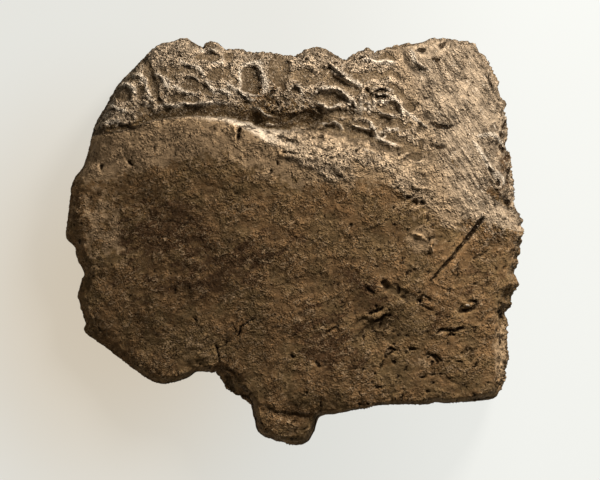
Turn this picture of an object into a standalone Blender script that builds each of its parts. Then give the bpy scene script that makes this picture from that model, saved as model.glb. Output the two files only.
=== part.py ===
"""A broken lump of clay from a jar sealing, lying on its back with the sealed face up.

The rim, the swells, the band of seal impressions and the breaks are drawn in millimetres on a
lump of the drawn sizes, x to the right and y up the face from the middle. Their places stretch
from it to the driving sizes, while strokes, pits and rolled edges keep their own.
"""

import bpy
import numpy as np

# Driving sizes, in metres
WIDTH = 0.1836
LENGTH = 0.1632
THICKNESS = 0.0410
RELIEF = 0.0011  # height of a full raised stroke of the seal
EDGE_ROLL = 0.0050  # how far in a full edge rounds over
BACK_HOLLOW = 0.0045  # the jar's shoulder, pressed into the back
CRUMBLE = 0.0024  # depth of the crumbled spots in the broken sides
SWELL = 0.0004  # unevenness of the face left by the hands
SIDE_WAVE = 0.0022  # how far the widest line of the side wanders up and down

# Sizes of the lump that the tables below are drawn on, in metres
DRAWN = (0.1836, 0.1632, 0.0410)

# Fineness of the surface
GRID_LINES = 159
FACES = 9500
CURVE_STEPS = 8
BATCH = 4000
NEAR_RIM = 0.87  # from this share of the grid outwards its rows crowd to the rim
RIM_START = 0.93  # how far out that row lies

MM = 0.001
WALL_RADIUS = 88.0
REST_SNAP = 0.3  # millimetres above the resting plane that are pressed flat

# Unevenness: millimetres between its swells, layers of finer swells, seed
SIDE_WAVES = (26, 3, 29)
BACK_SWELLS = (24, 3, 41)
FACE_SWELLS = (14, 3, 3)
CRUMBS = (11, 4, 11)

CLAY_COLOUR = (0.115, 0.075, 0.043, 1.0)
CLAY_ROUGHNESS = 0.92

# Rim of the lump seen from above, anticlockwise from the top left to the left side
RIM = (
    (-84.5, 30), (-88.5, 24), (-90, 15), (-91.2, 5), (-91, 1), (-88, -2), (-87, -6.5), (-84, -12.5),
    (-85, -15.5), (-86.5, -22), (-84, -32), (-84.5, -35.5), (-82, -38.5), (-76, -42), (-70, -47),
    (-60, -54), (-52, -56.7), (-43, -54.5), (-39, -52.2), (-32, -53.3), (-28.5, -56.5), (-28, -58.5),
    (-23, -62.3), (-18, -65.5), (-16.5, -70), (-14, -76.5), (-5, -80.5), (3.5, -81), (7.5, -76),
    (10, -70), (18, -68.8), (27, -67), (36, -65.3), (52, -65), (56, -64), (60, -64.5), (70, -63.8),
    (79, -62.5), (81.5, -60.5), (83.5, -57.5), (85.2, -48), (84.3, -40), (85, -34), (83.8, -28.5),
    (86, -25.5), (87.5, -21), (89.3, -17), (88, -13), (90, -5), (91.6, 3), (90.5, 9), (87.4, 15),
    (87.8, 19), (86.6, 28), (86.5, 32.5), (84.3, 38.5), (84.8, 44), (84.2, 47.5), (84.5, 50),
    (83.3, 56), (80.8, 60.5), (81.3, 63), (79.8, 68.5), (76, 74.3), (72, 78.8), (69, 80), (62, 81),
    (54.5, 81.1), (51, 79.8), (43, 78.8), (37, 77.6), (31.5, 75.8), (28.5, 76.9), (22.5, 74.5),
    (19.8, 72.6), (14, 75.8), (7, 77.8), (1.5, 75), (-4, 74.6), (-10.5, 75.3), (-18, 75.5),
    (-22, 76.7), (-28.3, 77.6), (-31.3, 79.6), (-34.7, 79.5), (-37.3, 77.9), (-40, 79), (-44, 81.2),
    (-50, 79.3), (-55, 77.8), (-57.8, 75.3), (-63.5, 70), (-66.5, 67.5), (-70.5, 62.5), (-75, 55),
    (-77.5, 50), (-80.2, 45), (-82.2, 37),
)

# Side of the lump by direction: degrees, share of a full roll, height of the widest line,
# squareness (2 is a round lip, near 1 is the flat slope of a break)
SIDE = (
    (0, 0.8, 13, 1.4), (4, 1.1, 13, 1.25), (8, 1.6, 13, 1.2), (15, 1.0, 14, 1.3), (30, 0.7, 13, 1.3),
    (46, 0.6, 12, 1.5), (65, 0.6, 11, 1.5), (80, 0.5, 12, 1.4), (95, 0.5, 12, 1.3),
    (110, 0.5, 11, 1.4), (130, 0.6, 9, 1.7), (153, 0.7, 8, 1.8), (165, 0.9, 8, 2), (180, 0.9, 8, 2),
    (205, 0.9, 7, 2), (225, 0.6, 7, 2), (234, 0.5, 7, 1.9), (240, 0.8, 8, 1.3), (250, 0.8, 7, 1.2),
    (256, 0.6, 6, 1.6), (262, 0.6, 6, 2), (270, 0.6, 6, 2), (276, 0.6, 6, 1.8), (281, 0.5, 8, 2),
    (290, 0.4, 11, 2), (310, 0.4, 13, 2), (321, 0.6, 14, 2), (325, 0.8, 13, 1.4), (329, 1.1, 12, 1.1),
    (338, 1.1, 12, 1.1), (342, 0.7, 12, 1.3), (352, 0.8, 12, 1.6), (357, 0.9, 13, 1.5),
)
BREAK_SQUARENESS = 1.7  # a side less round than this is broken, and crumbles
LIP_CRUMBLE = 0.4  # a smooth lip's unevenness, as a share of a break's

# The crest between the smooth belly and the sealed band, from left to right, and the breadth of
# the fall from it into the trough above
CREST = (
    (-95, 40.5), (-81, 41.5), (-67, 43.7), (-55, 47.6), (-40, 48.8), (-28, 48), (-18, 44.1), (-11, 39.8),
    (-4, 36.6), (4, 34.5), (16, 32), (26, 29.5), (36, 25.5), (50, 17), (60, 12), (80, 8), (95, 3),
)
FALL = (
    (-95, 1.2), (-30, 1.4), (-18, 3.2), (-10, 5.5), (-4, 8.5), (4, 12), (16, 14), (26, 14), (36, 16),
    (50, 19), (60, 22), (80, 9), (95, 5),
)
# Going right between these places, the sharp fold of the crest turns into a rounded shoulder
FOLD_ENDS = (-6.0, 30.0)
# The trough at the foot of the crest: x, breadth of the rise out of it, depth
TROUGH = (
    (-95, 3, 0.3), (-66, 3.6, 0.3), (-50, 4.2, 0.3), (-28, 4.8, 0.6), (-18, 6.5, 2.2), (-6, 8, 3),
    (6, 7, 2.7), (12, 6, 1.6), (18, 5, 0.2), (22, 5, 0), (95, 5, 0),
)

# Heights above the table at spots of the belly and of the sealed band
BELLY = (
    (-80, 38, 20.5), (-60, 40, 27), (-60, 30, 26), (-40, 46, 33), (-40, 34, 31.8), (-25, 47, 36),
    (-25, 34, 34.6), (-10, 40, 38), (0, 34, 39), (15, 30, 39.5), (30, 26, 40), (45, 18, 40),
    (60, 10, 39.5), (75, 12, 37), (88, 4, 33), (-88, 20, 17), (-60, 20, 24), (-40, 20, 29.3),
    (-20, 20, 33.8), (0, 20, 37), (20, 10, 37.5), (-60, -20, 18.5), (-40, -20, 23), (-20, -20, 27.5),
    (0, -20, 31), (20, -20, 33.5), (38, -20, 36), (55, -15, 38.3), (60, -25, 37.3), (80, -20, 35),
    (-88, -5, 14), (-60, -40, 14.5), (-80, -30, 12), (-40, -45, 20), (-25, -48, 22.5), (-10, -50, 25.8),
    (20, -50, 30.5), (40, -50, 33), (60, -50, 34), (80, -50, 33), (0, -63, 26), (20, -63, 29.5),
    (40, -63, 32), (60, -62, 33), (80, -60, 32), (0, -67, 24.6), (-10, -72, 23.4), (0, -78, 22.8),
    (-30, 0, 28.8), (-70, 0, 18.5), (40, 5, 39),
)
BAND = (
    (-90, 30, 14), (-80, 50, 19), (-75, 45, 22.5), (-60, 52, 26.5), (-60, 70, 21), (-40, 50.5, 32),
    (-40, 56, 31.8), (-40, 66, 28.5), (-40, 78, 24), (-22, 50, 33), (-20, 55, 33.2), (-20, 62, 31.5),
    (-20, 74, 27), (-8, 54, 32.8), (3, 54, 32.4), (0, 62, 31.5), (0, 73, 28), (15, 47, 32.5),
    (20, 60, 32.5), (20, 72, 29), (30, 45, 34.5), (40, 40, 36), (40, 60, 32), (40, 75, 27.5),
    (50, 35, 37.5), (50, 20, 39.5), (60, 15, 39), (60, 30, 37), (60, 45, 33), (60, 60, 28), (60, 75, 22),
    (75, 60, 22.5), (75, 45, 27.5), (82, 45, 24.5), (75, 30, 32), (84, 28, 28), (75, 20, 34),
    (84, 12, 31.5), (90, 4, 29),
)

# Raised and sunken strokes: width, share of the relief, route. The band's signs come first.
STROKES = (
    (2.8, 1.0, ((-69.5, 62.5), (-65.5, 62.3), (-63.8, 59))),
    (2.6, 0.9, ((-75, 55), (-71, 53), (-67, 52))),
    (2.6, 0.8, ((-76.5, 47.2), (-69, 48))),
    (2.6, 0.9, ((-65, 67), (-62, 66.5), (-59.2, 62.8), (-57, 57.5))),
    (4.8, -1.3, ((-60, 73.5), (-57.2, 65), (-55.3, 58))),
    (2.4, 1.0, ((-56, 66.3), (-53, 65), (-50.6, 60.3))),
    (2.2, 0.9, ((-49.5, 61), (-47, 61), (-42, 58.9), (-38, 58.3))),
    (2.0, 0.8, ((-55.5, 53.8), (-47, 54.2), (-25, 55))),
    (2.2, 0.9, ((-46, 73), (-42.5, 70), (-38, 69), (-36.6, 65))),
    (2.4, 1.0, ((-39, 76), (-30.5, 76))),
    (2.4, 1.1, ((-35.5, 64.3), (-32, 60), (-24.8, 57.8))),
    (2.4, 1.1, ((-28, 62.8), (-22.3, 60.1), (-18.5, 56.8), (-15, 56))),
    (3.2, 1.4, ((-15.5, 70.3), (-13, 66.5), (-11.7, 62), (-13, 58.5))),
    (2.4, 0.9, ((-22, 69.8), (-18, 71.2), (-12.3, 70.8))),
    (2.2, 0.8, ((-22, 69.8), (-21.3, 59.5), (-13, 58.2))),
    (2.4, 0.9, ((-0.3, 62.8), (2.1, 60.3), (2.9, 57.5))),
    (3.0, 1.4, ((14, 70), (20.5, 64.5), (26.8, 61.6))),
    (4.4, -1.2, ((13, 65), (21, 61.3), (24.5, 59.8))),
    (2.6, 1.3, ((8, 59), (11, 60.9), (16, 60.4), (20.5, 57.6), (22, 53))),
    (2.4, 1.2, ((9, 55.2), (12.5, 53.1), (18.5, 54.8))),
    (2.2, 0.9, ((26, 58), (26, 50))),
    (2.2, 0.9, ((30.4, 57), (30.4, 51))),
    (2.4, 1.0, ((31.5, 59.4), (39.3, 58.6))),
    (2.4, 1.1, ((37.8, 57.7), (41.7, 53.5), (42.2, 49.2))),
    (2.2, 0.9, ((32.3, 55.7), (38.2, 55.7))),
    (2.2, 0.9, ((32.8, 51.6), (36, 50), (40.3, 50.2))),
    (2.2, 0.8, ((35.5, 44.4), (42, 44.8))),
    (2.2, 1.1, ((27.8, 48.7), (30.5, 45.5), (33, 41.3), (37, 39.3), (41.8, 37.9))),
    (2.8, 0.9, ((19, 36.2), (28, 36.1), (38.5, 31.8))),
    (2.4, 0.9, ((22, 46.3), (30.7, 44.2))),
    (2.6, 0.9, ((25, 74.2), (31, 71.6), (40.5, 71.4))),
    (2.6, 1.3, ((46.3, 76.5), (48.5, 71.5), (53.5, 67.6))),
    (4.4, -1.5, ((43.7, 76), (46.5, 69.5), (51.5, 67))),
    (3.8, -1.2, ((38, 62.5), (43, 57), (46, 54.8))),
    (2.4, 0.9, ((41.8, 54), (47, 49.5), (53.5, 44.3))),
    (3.0, -1.5, ((53.5, 47), (62, 45.4))),
    (2.8, -1.5, ((53.8, 38.3), (59.3, 37.3))),
    (2.6, 1.2, ((70.5, 40.5), (75, 33.5), (79.5, 27), (81.8, 21.5))),
    (2.4, 1.0, ((72, 41.6), (80, 42.6), (84, 37.3))),
    (2.6, -2.3, ((-21.6, 45), (-22.5, 40))),
    (2.4, -1.9, ((75, 9), (68, 0), (59, -10))),
    (2.4, -1.8, ((65.5, -25), (69, -23.6), (72, -24.6), (69.5, -27.2), (65.5, -27.6))),
    (2.6, -1.6, ((56.5, -36), (61, -35.8), (66.3, -34.5))),
    (2.4, -1.5, ((35.8, -46), (38, -42.2), (39.8, -43), (36.5, -45.4))),
)

# Small cliffs where clay has lifted: reach of the fall, share of the relief, route. The ground
# on the right of the route is the lower.
CLIFFS = (
    (4.0, 1.0, ((-70, 46.8), (-65, 45.4), (-60, 47.5))),
    (3.0, 1.1, ((-5, 63.2), (6, 64.7), (9, 66.8), (14.3, 70.4))),
    (7.0, 0.6, ((33, -18.5), (35, -16), (40, -18.6), (46, -19), (50, -24))),
    (9.0, 0.9, ((21, -34), (28, -30), (37.8, -29.5))),
    (4.0, 1.4, ((-30.5, -49.2), (-25, -50.8), (-22.8, -55))),
    (4.0, 1.4, ((-21, -57.5), (-16.5, -62.5))),
)

# Hollows: share of the relief, x, y, two half-breadths, turn in degrees
HOLLOWS = (
    (1.6, -68.4, 58.4, 4.2, 3.6, 45), (0.4, -38, 52.2, 17, 2.8, 2), (2.0, -33.8, 78, 4.2, 1.8, -5),
    (1.1, -34.6, 73.4, 6.2, 2.2, 0), (1.5, -17.2, 64.2, 5.2, 6.5, 0), (1.9, -6.3, 68.3, 5, 8.3, -8),
    (1.3, 3.5, 49, 8, 3.2, 4), (1.6, 14.7, 57.2, 5.2, 3.5, -8), (1.3, 14.5, 44.6, 3.2, 2, 0),
    (2.2, 28.4, 59.5, 2, 1.6, -30), (1.5, 36.8, 52.8, 4, 2.3, -5), (1.4, 35.6, 47, 4.2, 2.8, -8),
    (1.1, 35.3, 37.2, 3.6, 1.6, -15), (1.0, 36.6, 73.3, 4.4, 2.1, 0), (1.6, 55.8, 71.8, 2.6, 1.4, -8),
    (1.3, 53.5, 50, 3.2, 2.2, -20), (1.2, 47, 33, 4.6, 1.8, 0), (2.2, 77.5, 36.5, 4.8, 5.4, -30),
    (2.4, 84.8, 25, 1.9, 3.4, 0), (1.4, 50, 25.5, 5.2, 2.6, -40), (2.4, 48, 15.2, 1.9, 2, 0),
    (2.2, 35.3, -18, 2.4, 2, -20), (1.2, 43.2, -20.8, 7.2, 2.9, -23), (1.0, 33, -36.5, 9.5, 6.5, 0),
    (1.3, 69, -45, 2.8, 4, 10), (2.4, -25.5, -57.5, 3.6, 1.9, -38), (2.6, -21.5, -61.7, 3, 1.6, -28),
)

# Back of the lump: depths below the resting plane are pressed flat by it
BACK_SINK = 0.6
BACK_UNEVEN = 0.9
BACK_CENTRE = (4.0, 3.0)
BACK_HALF = (74.0, 56.0)
LUG_CENTRE = (-3.0, -80.0)
LUG_LIFT = 3.2
LUG_REACH = 14.0
BACK_ROLL = 1.1  # how far in the back rounds under, as a share of the widest line's height


def soft(value, low, high):
    """0 below low, 1 above high and a smooth rise between."""
    t = np.clip((value - low) / (high - low), 0, 1)
    return t * t * (3 - 2 * t)


def placed(table):
    """Rows that start with an x and a y, or an x, y and height, stretched to the driving sizes."""
    rows = np.array(table, float)
    stretch = np.array((WIDTH, LENGTH, THICKNESS)) / DRAWN
    return rows * stretch[:rows.shape[-1]]


def closed_curve(points, steps):
    """A smooth closed curve through the points."""
    here = placed(points)
    before, after, beyond = (np.roll(here, shift, axis=0) for shift in (1, -1, -2))
    t = (np.arange(steps) / steps)[:, None, None]
    curve = 0.5 * (
        2 * here
        + (after - before) * t
        + (2 * before - 5 * here + 4 * after - beyond) * t**2
        + (3 * here - before - 3 * after + beyond) * t**3
    )
    return curve.transpose(1, 0, 2).reshape(-1, 2)


def smooth_sheet(spots):
    """The height function of a thin plate bent through the spots."""
    spots = placed(spots)
    reach = np.abs(spots[:, :2]).max()
    centres = spots[:, :2] / reach
    count = len(spots)

    def bend(places):
        square = ((places[:, None] - centres[None]) ** 2).sum(axis=2)
        return square * np.log(square + 1e-12)

    system = np.zeros((count + 3, count + 3))
    system[:count, :count] = bend(centres)
    system[:count, count] = 1
    system[:count, count + 1:] = centres
    system[count:, :count] = system[:count, count:].T
    weights = np.linalg.solve(system, np.append(spots[:, 2], (0, 0, 0)))

    def height(x, y):
        places = np.stack((x, y), axis=1) / reach
        return bend(places) @ weights[:count] + weights[count] + places @ weights[count + 1:]

    return height


def noise(places, size, seed):
    """Smooth noise from -1 to 1, on a lattice of random values this many millimetres apart."""
    side = 32
    values = np.random.default_rng(seed).uniform(-1, 1, (side, side, side))
    scaled = places / size + side * side
    cell = np.floor(scaled).astype(int)
    part = scaled - cell
    part = part * part * (3 - 2 * part)
    total = np.zeros(len(places))
    for corner in np.ndindex(2, 2, 2):
        weight = np.where(corner, part, 1 - part).prod(axis=1)
        i, j, k = ((cell + corner) % side).T
        total += weight * values[i, j, k]
    return total


def layered_noise(places, size, layers, seed):
    """Noise with finer noise of half the height on it, layer by layer."""
    return sum(noise(places, size / 2**k, seed + k) / 2**k for k in range(layers))


def near_route(x, y, route, reach):
    """Points within reach of a route: their indices, distance, side (left is 1) and place along it."""
    route = placed(route)
    low, high = route.min(axis=0) - reach, route.max(axis=0) + reach
    here = np.flatnonzero((x > low[0]) & (x < high[0]) & (y > low[1]) & (y < high[1]))
    lengths = np.hypot(*np.diff(route, axis=0).T)
    starts = np.append(0, np.cumsum(lengths))
    distance = np.full(len(here), np.inf)
    side = np.ones(len(here))
    place = np.zeros(len(here))
    for start, length, first, last in zip(starts, lengths, route[:-1], route[1:]):
        along = (last - first) / length
        dx, dy = x[here] - first[0], y[here] - first[1]
        t = np.clip(dx * along[0] + dy * along[1], 0, length)
        away = np.hypot(dx - t * along[0], dy - t * along[1])
        closer = away < distance
        distance = np.where(closer, away, distance)
        side = np.where(closer, np.sign(along[0] * dy - along[1] * dx), side)
        place = np.where(closer, (start + t) / starts[-1], place)
    return here, distance, side, place


def add_stroke(z, x, y, width, height, route):
    """A rounded ridge along a route, or a groove where the height is negative."""
    here, distance, _, _ = near_route(x, y, route, width / 2)
    z[here] += height * np.clip(1 - (2 * distance / width) ** 2, 0, 1) ** 1.5


def add_cliff(z, x, y, reach, drop, route):
    """A step down on the right of a route, which rises back to the old ground within reach."""
    here, distance, side, place = near_route(x, y, route, reach)
    edge = np.clip(0.5 - side * distance, 0, 1)
    ends = np.clip(4 * np.minimum(place, 1 - place), 0, 1)
    z[here] -= drop * edge * ends * np.clip(1 - distance / reach, 0, 1) ** 1.5


def add_hollow(z, x, y, depth, x0, y0, half_x, half_y, turn):
    """A rounded hollow with a flattish floor."""
    x0, y0 = placed((x0, y0))
    cosine, sine = np.cos(np.radians(turn)), np.sin(np.radians(turn))
    u = ((x - x0) * cosine + (y - y0) * sine) / half_x
    v = ((y - y0) * cosine - (x - x0) * sine) / half_y
    z -= depth * soft(1 - np.hypot(u, v) ** 3, 0, 1)


def face_height(x, y):
    """Height of the whole front, before its edges turn down."""
    belly = smooth_sheet(BELLY)(x, y)
    band = smooth_sheet(BAND)(x, y)
    above = y - np.interp(x, *placed(CREST).T)
    fall = np.interp(x, *placed(FALL).T)
    trough_x, rise, depth = placed(TROUGH).T
    past_fall = (above - fall) / np.interp(x, trough_x, rise)
    band -= np.interp(x, trough_x, depth) * np.clip(1 - past_fall, 0, 1)
    t = np.clip(above / fall, 0, 1)
    fold_start, fold_end = np.array(FOLD_ENDS) * WIDTH / DRAWN[0]
    share = t + (soft(t, 0, 1) - t) * soft(x, fold_start, fold_end)
    z = belly + (band - belly) * share
    relief = RELIEF / MM
    for width, share, route in STROKES:
        add_stroke(z, x, y, width, share * relief, route)
    for reach, share, route in CLIFFS:
        add_cliff(z, x, y, reach, share * relief, route)
    for share, *shape in HOLLOWS:
        add_hollow(z, x, y, share * relief, *shape)
    return z


def back_height(x, y):
    """Height of the whole back: a shallow hollow, a lifted lug, and the rest at the table."""
    centre, half, lug_centre = placed((BACK_CENTRE, BACK_HALF, LUG_CENTRE))
    u, v = (x - centre[0]) / half[0], (y - centre[1]) / half[1]
    hollow = np.clip(1 - u * u - v * v, 0, 1) ** 2
    away = np.hypot(x - lug_centre[0], y - lug_centre[1]) / LUG_REACH
    lug = np.clip(1 - away * away, 0, 1)
    uneven = layered_noise(np.stack((x, y, 0 * x), axis=1), *BACK_SWELLS) * BACK_UNEVEN
    return hollow * BACK_HOLLOW / MM + lug * LUG_LIFT + uneven - BACK_SINK


def grid_places(lines):
    """A square grid of points, drawn out to the rim, with rows closer together near the rim."""
    line = np.linspace(-1, 1, lines)
    u, v = (part.ravel() for part in np.meshgrid(line, line))
    ring = np.maximum(np.abs(u), np.abs(v))
    t = np.clip((ring - NEAR_RIM) / (1 - NEAR_RIM), 0, 1)
    crowded = 1 - (1 - RIM_START) * (1 - t) ** 2
    out = np.where(ring < NEAR_RIM, ring * RIM_START / NEAR_RIM, crowded)
    stretch = out / np.where(ring > 0, ring, 1)
    u, v = u * stretch, v * stretch
    rim = closed_curve(RIM, CURVE_STEPS)
    half = np.abs(rim).max(axis=0)
    turn = np.degrees(np.arctan2(v * half[1], u * half[0]))
    rim_turn = np.degrees(np.arctan2(rim[:, 1], rim[:, 0]))
    at_rim = np.interp(turn, rim_turn, np.hypot(*rim.T), period=360)
    box = np.maximum(np.abs(u), np.abs(v))
    square = np.hypot(u * half[0], v * half[1]) / np.where(box > 0, box, 1)
    share = np.where(box > 0, at_rim / np.where(square > 0, square, 1), 1)
    pull = 1 + (share - 1) * box
    x, y = u * half[0] * pull, v * half[1] * pull
    from_rim = np.empty(len(x))
    for start in range(0, len(x), BATCH):
        some = slice(start, start + BATCH)
        dx = x[some, None] - rim[None, :, 0]
        dy = y[some, None] - rim[None, :, 1]
        from_rim[some] = np.sqrt((dx * dx + dy * dy).min(axis=1))
    on_rim = ring == 1
    from_rim[on_rim] = 0
    return x, y, from_rim, turn % 360, on_rim


def lump_surface(lines):
    """Points and quads of the closed lump: a front grid and a back grid that share their rim."""
    x, y, from_rim, turn, on_rim = grid_places(lines)
    degrees, roll, widest, square = np.transpose(SIDE)
    radians = np.radians(turn)
    wall = np.stack((np.cos(radians), np.sin(radians), 0 * turn), axis=1) * WALL_RADIUS
    wave = layered_noise(wall, *SIDE_WAVES)
    roll = np.interp(turn, degrees, roll, period=360) * EDGE_ROLL / MM * (1 + 0.3 * wave)
    widest = np.interp(turn, degrees, widest, period=360) * THICKNESS / DRAWN[2]
    widest += wave * SIDE_WAVE / MM
    square = np.interp(turn, degrees, square, period=360)
    inward = np.clip(from_rim / roll, 0, 1)
    front = widest + (face_height(x, y) - widest) * (1 - (1 - inward) ** square) ** (1 / square)
    under = np.clip(from_rim / (widest * BACK_ROLL), 0, 1)
    back = widest - (widest - back_height(x, y)) * np.sqrt(1 - (1 - under) ** 2)
    inner = np.flatnonzero(~on_rim)
    points = np.concatenate((np.stack((x, y, front), 1), np.stack((x, y, back), 1)[inner]))
    below = np.arange(len(x))
    below[inner] = len(x) + np.arange(len(inner))
    i, j = (part.ravel() for part in np.meshgrid(np.arange(lines - 1), np.arange(lines - 1)))
    first = j * lines + i
    quads = np.stack((first, first + 1, first + 1 + lines, first + lines), axis=1)
    quads = np.concatenate((quads, below[quads][:, ::-1]))
    broken = np.clip((BREAK_SQUARENESS - square) * 4, LIP_CRUMBLE, 1)
    edge = broken * np.clip(1.3 - from_rim / (1.6 * roll), 0, 1)
    off_widest = np.clip(np.abs(points[:, 2] - np.append(widest, widest[inner])) / 4, 0, 1)
    return points, quads, np.append(edge, edge[inner]) * off_widest


def outward(points, quads):
    """Unit normals at the points."""
    a, b, c, d = (points[quads[:, k]] for k in range(4))
    across = np.cross(c - a, d - b)
    normals = np.zeros_like(points)
    for k in range(4):
        np.add.at(normals, quads[:, k], across)
    return normals / np.maximum(np.linalg.norm(normals, axis=1, keepdims=True), 1e-9)


def roughened(points, quads, crumble):
    """The points moved along their normals: gentle swells all over, crumbled spots in the sides."""
    swell = layered_noise(points, *FACE_SWELLS) * SWELL / MM
    lost = np.abs(layered_noise(points, *CRUMBS)) * CRUMBLE / MM
    return points + outward(points, quads) * (swell - lost * crumble)[:, None]


def mesh_object(name, points, faces, material):
    mesh = bpy.data.meshes.new(name)
    mesh.from_pydata(points.tolist(), [], faces.tolist())
    mesh.materials.append(material)
    lump = bpy.data.objects.new(name, mesh)
    bpy.context.scene.collection.objects.link(lump)
    return lump


def simplify(lump, faces):
    """Collapses edges, the flattest first, down to this many triangles."""
    lump.data.calc_loop_triangles()
    fewer = lump.modifiers.new("Fewer faces", "DECIMATE")
    fewer.ratio = faces / len(lump.data.loop_triangles)
    fewer.use_collapse_triangulate = True
    graph = bpy.context.evaluated_depsgraph_get()
    simple = bpy.data.meshes.new_from_object(lump.evaluated_get(graph))
    lump.modifiers.remove(fewer)
    dense = lump.data
    lump.data = simple
    bpy.data.meshes.remove(dense)
    simple.name = lump.name


def fit_to_sizes(mesh):
    """Presses the resting spots flat and brings the lump to its width, length and thickness."""
    flat = np.empty(len(mesh.vertices) * 3)
    mesh.vertices.foreach_get("co", flat)
    points = flat.reshape(-1, 3)
    points[:, 2] = np.where(points[:, 2] < REST_SNAP, 0, points[:, 2])
    low, high = points.min(axis=0), points.max(axis=0)
    middle = (low + high) / 2
    middle[2] = 0
    points = (points - middle) * np.array((WIDTH, LENGTH, THICKNESS)) / (high - low)
    mesh.vertices.foreach_set("co", points.ravel())
    mesh.update()


def clay():
    material = bpy.data.materials.new("clay")
    material.use_nodes = True
    shader = material.node_tree.nodes["Principled BSDF"]
    shader.inputs["Base Color"].default_value = CLAY_COLOUR
    shader.inputs["Roughness"].default_value = CLAY_ROUGHNESS
    material.diffuse_color = CLAY_COLOUR
    return material


def jar_sealing():
    points, quads, crumble = lump_surface(round(GRID_LINES))
    points = roughened(points, quads, crumble)
    lump = mesh_object("jar_sealing", points, quads, clay())
    simplify(lump, FACES)
    fit_to_sizes(lump.data)
    lump.data.shade_smooth()
    return lump


def clear_scene():
    for old in list(bpy.data.objects):
        bpy.data.objects.remove(old, do_unlink=True)


clear_scene()
jar_sealing()
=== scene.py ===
"""Looks of a jar sealing: one dried clay lump, its fine relief, its clay, the light and the camera."""

import math
from types import SimpleNamespace

import bpy
import numpy as np
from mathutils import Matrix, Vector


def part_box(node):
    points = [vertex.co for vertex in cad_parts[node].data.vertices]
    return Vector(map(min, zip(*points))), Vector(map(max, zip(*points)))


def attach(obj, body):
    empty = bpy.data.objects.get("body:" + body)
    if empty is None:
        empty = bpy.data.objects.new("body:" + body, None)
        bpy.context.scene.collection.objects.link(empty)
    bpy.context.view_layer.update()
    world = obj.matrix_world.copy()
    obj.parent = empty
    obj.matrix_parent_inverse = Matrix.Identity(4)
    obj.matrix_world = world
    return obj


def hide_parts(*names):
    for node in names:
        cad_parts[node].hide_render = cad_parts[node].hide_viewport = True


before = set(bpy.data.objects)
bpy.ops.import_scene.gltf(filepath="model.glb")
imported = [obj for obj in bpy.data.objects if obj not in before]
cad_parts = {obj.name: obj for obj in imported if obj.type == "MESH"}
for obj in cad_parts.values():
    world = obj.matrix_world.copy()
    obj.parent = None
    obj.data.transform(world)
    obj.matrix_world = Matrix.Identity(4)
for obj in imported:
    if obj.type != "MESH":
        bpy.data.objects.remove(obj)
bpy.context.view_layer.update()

MM = 0.001

# The solid's own forms, with lengths in millimetres, x to the right and y up the face
EDGE_ROLL = 5.0
BACK_HOLLOW = 4.5
CRUMBLE = 2.4
SWELL = 0.4
SIDE_WAVE = 2.2
WALL_RADIUS = 88.0
REST_SNAP = 0.3
BACK_SINK = 0.6
BACK_UNEVEN = 0.9
BACK_CENTRE = (4.0, 3.0)
BACK_HALF = (74.0, 56.0)
LUG_CENTRE = (-3.0, -80.0)
LUG_LIFT = 3.2
LUG_REACH = 14.0
BACK_ROLL = 1.1
BREAK_SQUARENESS = 1.7
LIP_CRUMBLE = 0.4

# Fineness of the surface
GRID_LINES = 440
TRIANGLES = 194000
CURVE_STEPS = 8
BATCH = 4000
NEAR_RIM = 0.87
RIM_START = 0.93
CROWDING = 1.5
MAP_STEP = 0.3  # millimetres between the spots of the height map
MAP_HALF = (94.0, 84.0)
FIT_MARGIN = 0.02  # millimetres inside the solid's box

# Noise of the sides and the back: size in millimetres, layers, seed and fade from layer to layer
SIDE_WAVES = (26, 3, 29)
BACK_SWELLS = (24, 3, 41)
FACE_SWELLS = (14, 3, 3)
CRUMBS = (11, 4, 11)
RIM_CRUMBS = (3.2, 3, 240, 0.65)
BREAK_CRUMBS = (3.2, 3, 200, 0.62)
BREAK_GRAINS = (1.6, 2, 210, 0.6)
UNDER_DENTS = (5, 3, 220, 0.6)
BREAK_DEPTH = 1.3
GRAIN_HEIGHT = 0.15
DENT_HEIGHT = 0.25
UNDER_HEIGHT = 6  # millimetres above the table below which the sides have dents
RAGGED = 0.7

# Noise of the front: size, layers, seed, fade, angle and the size across that angle
FRONT_NOISES = dict(
    crest=(2.4, 3, 47, 0.7), shoulder=(7, 5, 45, 0.6), bent_x=(4.5, 3, 50, 0.6), bent_y=(4.5, 3, 60, 0.6),
    vary=(2.6, 3, 70, 0.7), wave=(16, 2, 80), lump=(5, 2, 90), crumb=(1.8, 2, 92, 0.6),
    flake=(2, 2, 95, 0.6), shelf=(5, 3, 93, 0.5, -15, 3), small_shelf=(3, 3, 96, 0.5, 10, 2.2),
    dent=(4, 3, 98, 0.5, -20, 2), grain=(2.6, 3, 100, 0.65, -56, 1.6), knob=(4.2, 3, 105, 0.6),
    wipe=(6, 3, 110, 0.6, 14, 2.6), fleck=(1.9, 3, 120, 0.7, 10, 1.3), low_grain=(2.4, 3, 130, 0.65),
    pock=(1.7, 1, 140),
)
# How high each of them stands on the front, or how deep a dent and a pock are, in millimetres
FRONT_HEIGHTS = dict(
    wave=0.35, lump=0.22, crumb=0.26, flake=0.16, shelf=0.28, dent=0.6, grain=0.2, knob=0.16,
    wipe=0.08, fleck=0.09, low_grain=0.07, pock=0.5,
)
SHOULDER_WANDER = 4
PROUD_REACH = 1.6  # millimetres around a spot that it stands out from
WIDE_REACH = 5.0
CREST_WANDER = 0.6
WANDER = 1.0  # millimetres that the edges of pits and hollows wander
STROKE_WANDER = 0.34
RIDGE_SHARE = 0.8
MOUND_SHARE = 0.24
MOUND_WIDTH = 2.6  # widths of a raised stroke that the mound below it takes
HOLLOW_SHARE = 0.52
PITTED_WIDTH = 3  # a sunken stroke up to this wide is a dark pit, and a wider one is a calm field
PIT_DEPTH = 1.3
PIT_HALF = 1.3
FLAT_FLOOR = 4  # a hollow flatter than this is calm clay all over

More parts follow.
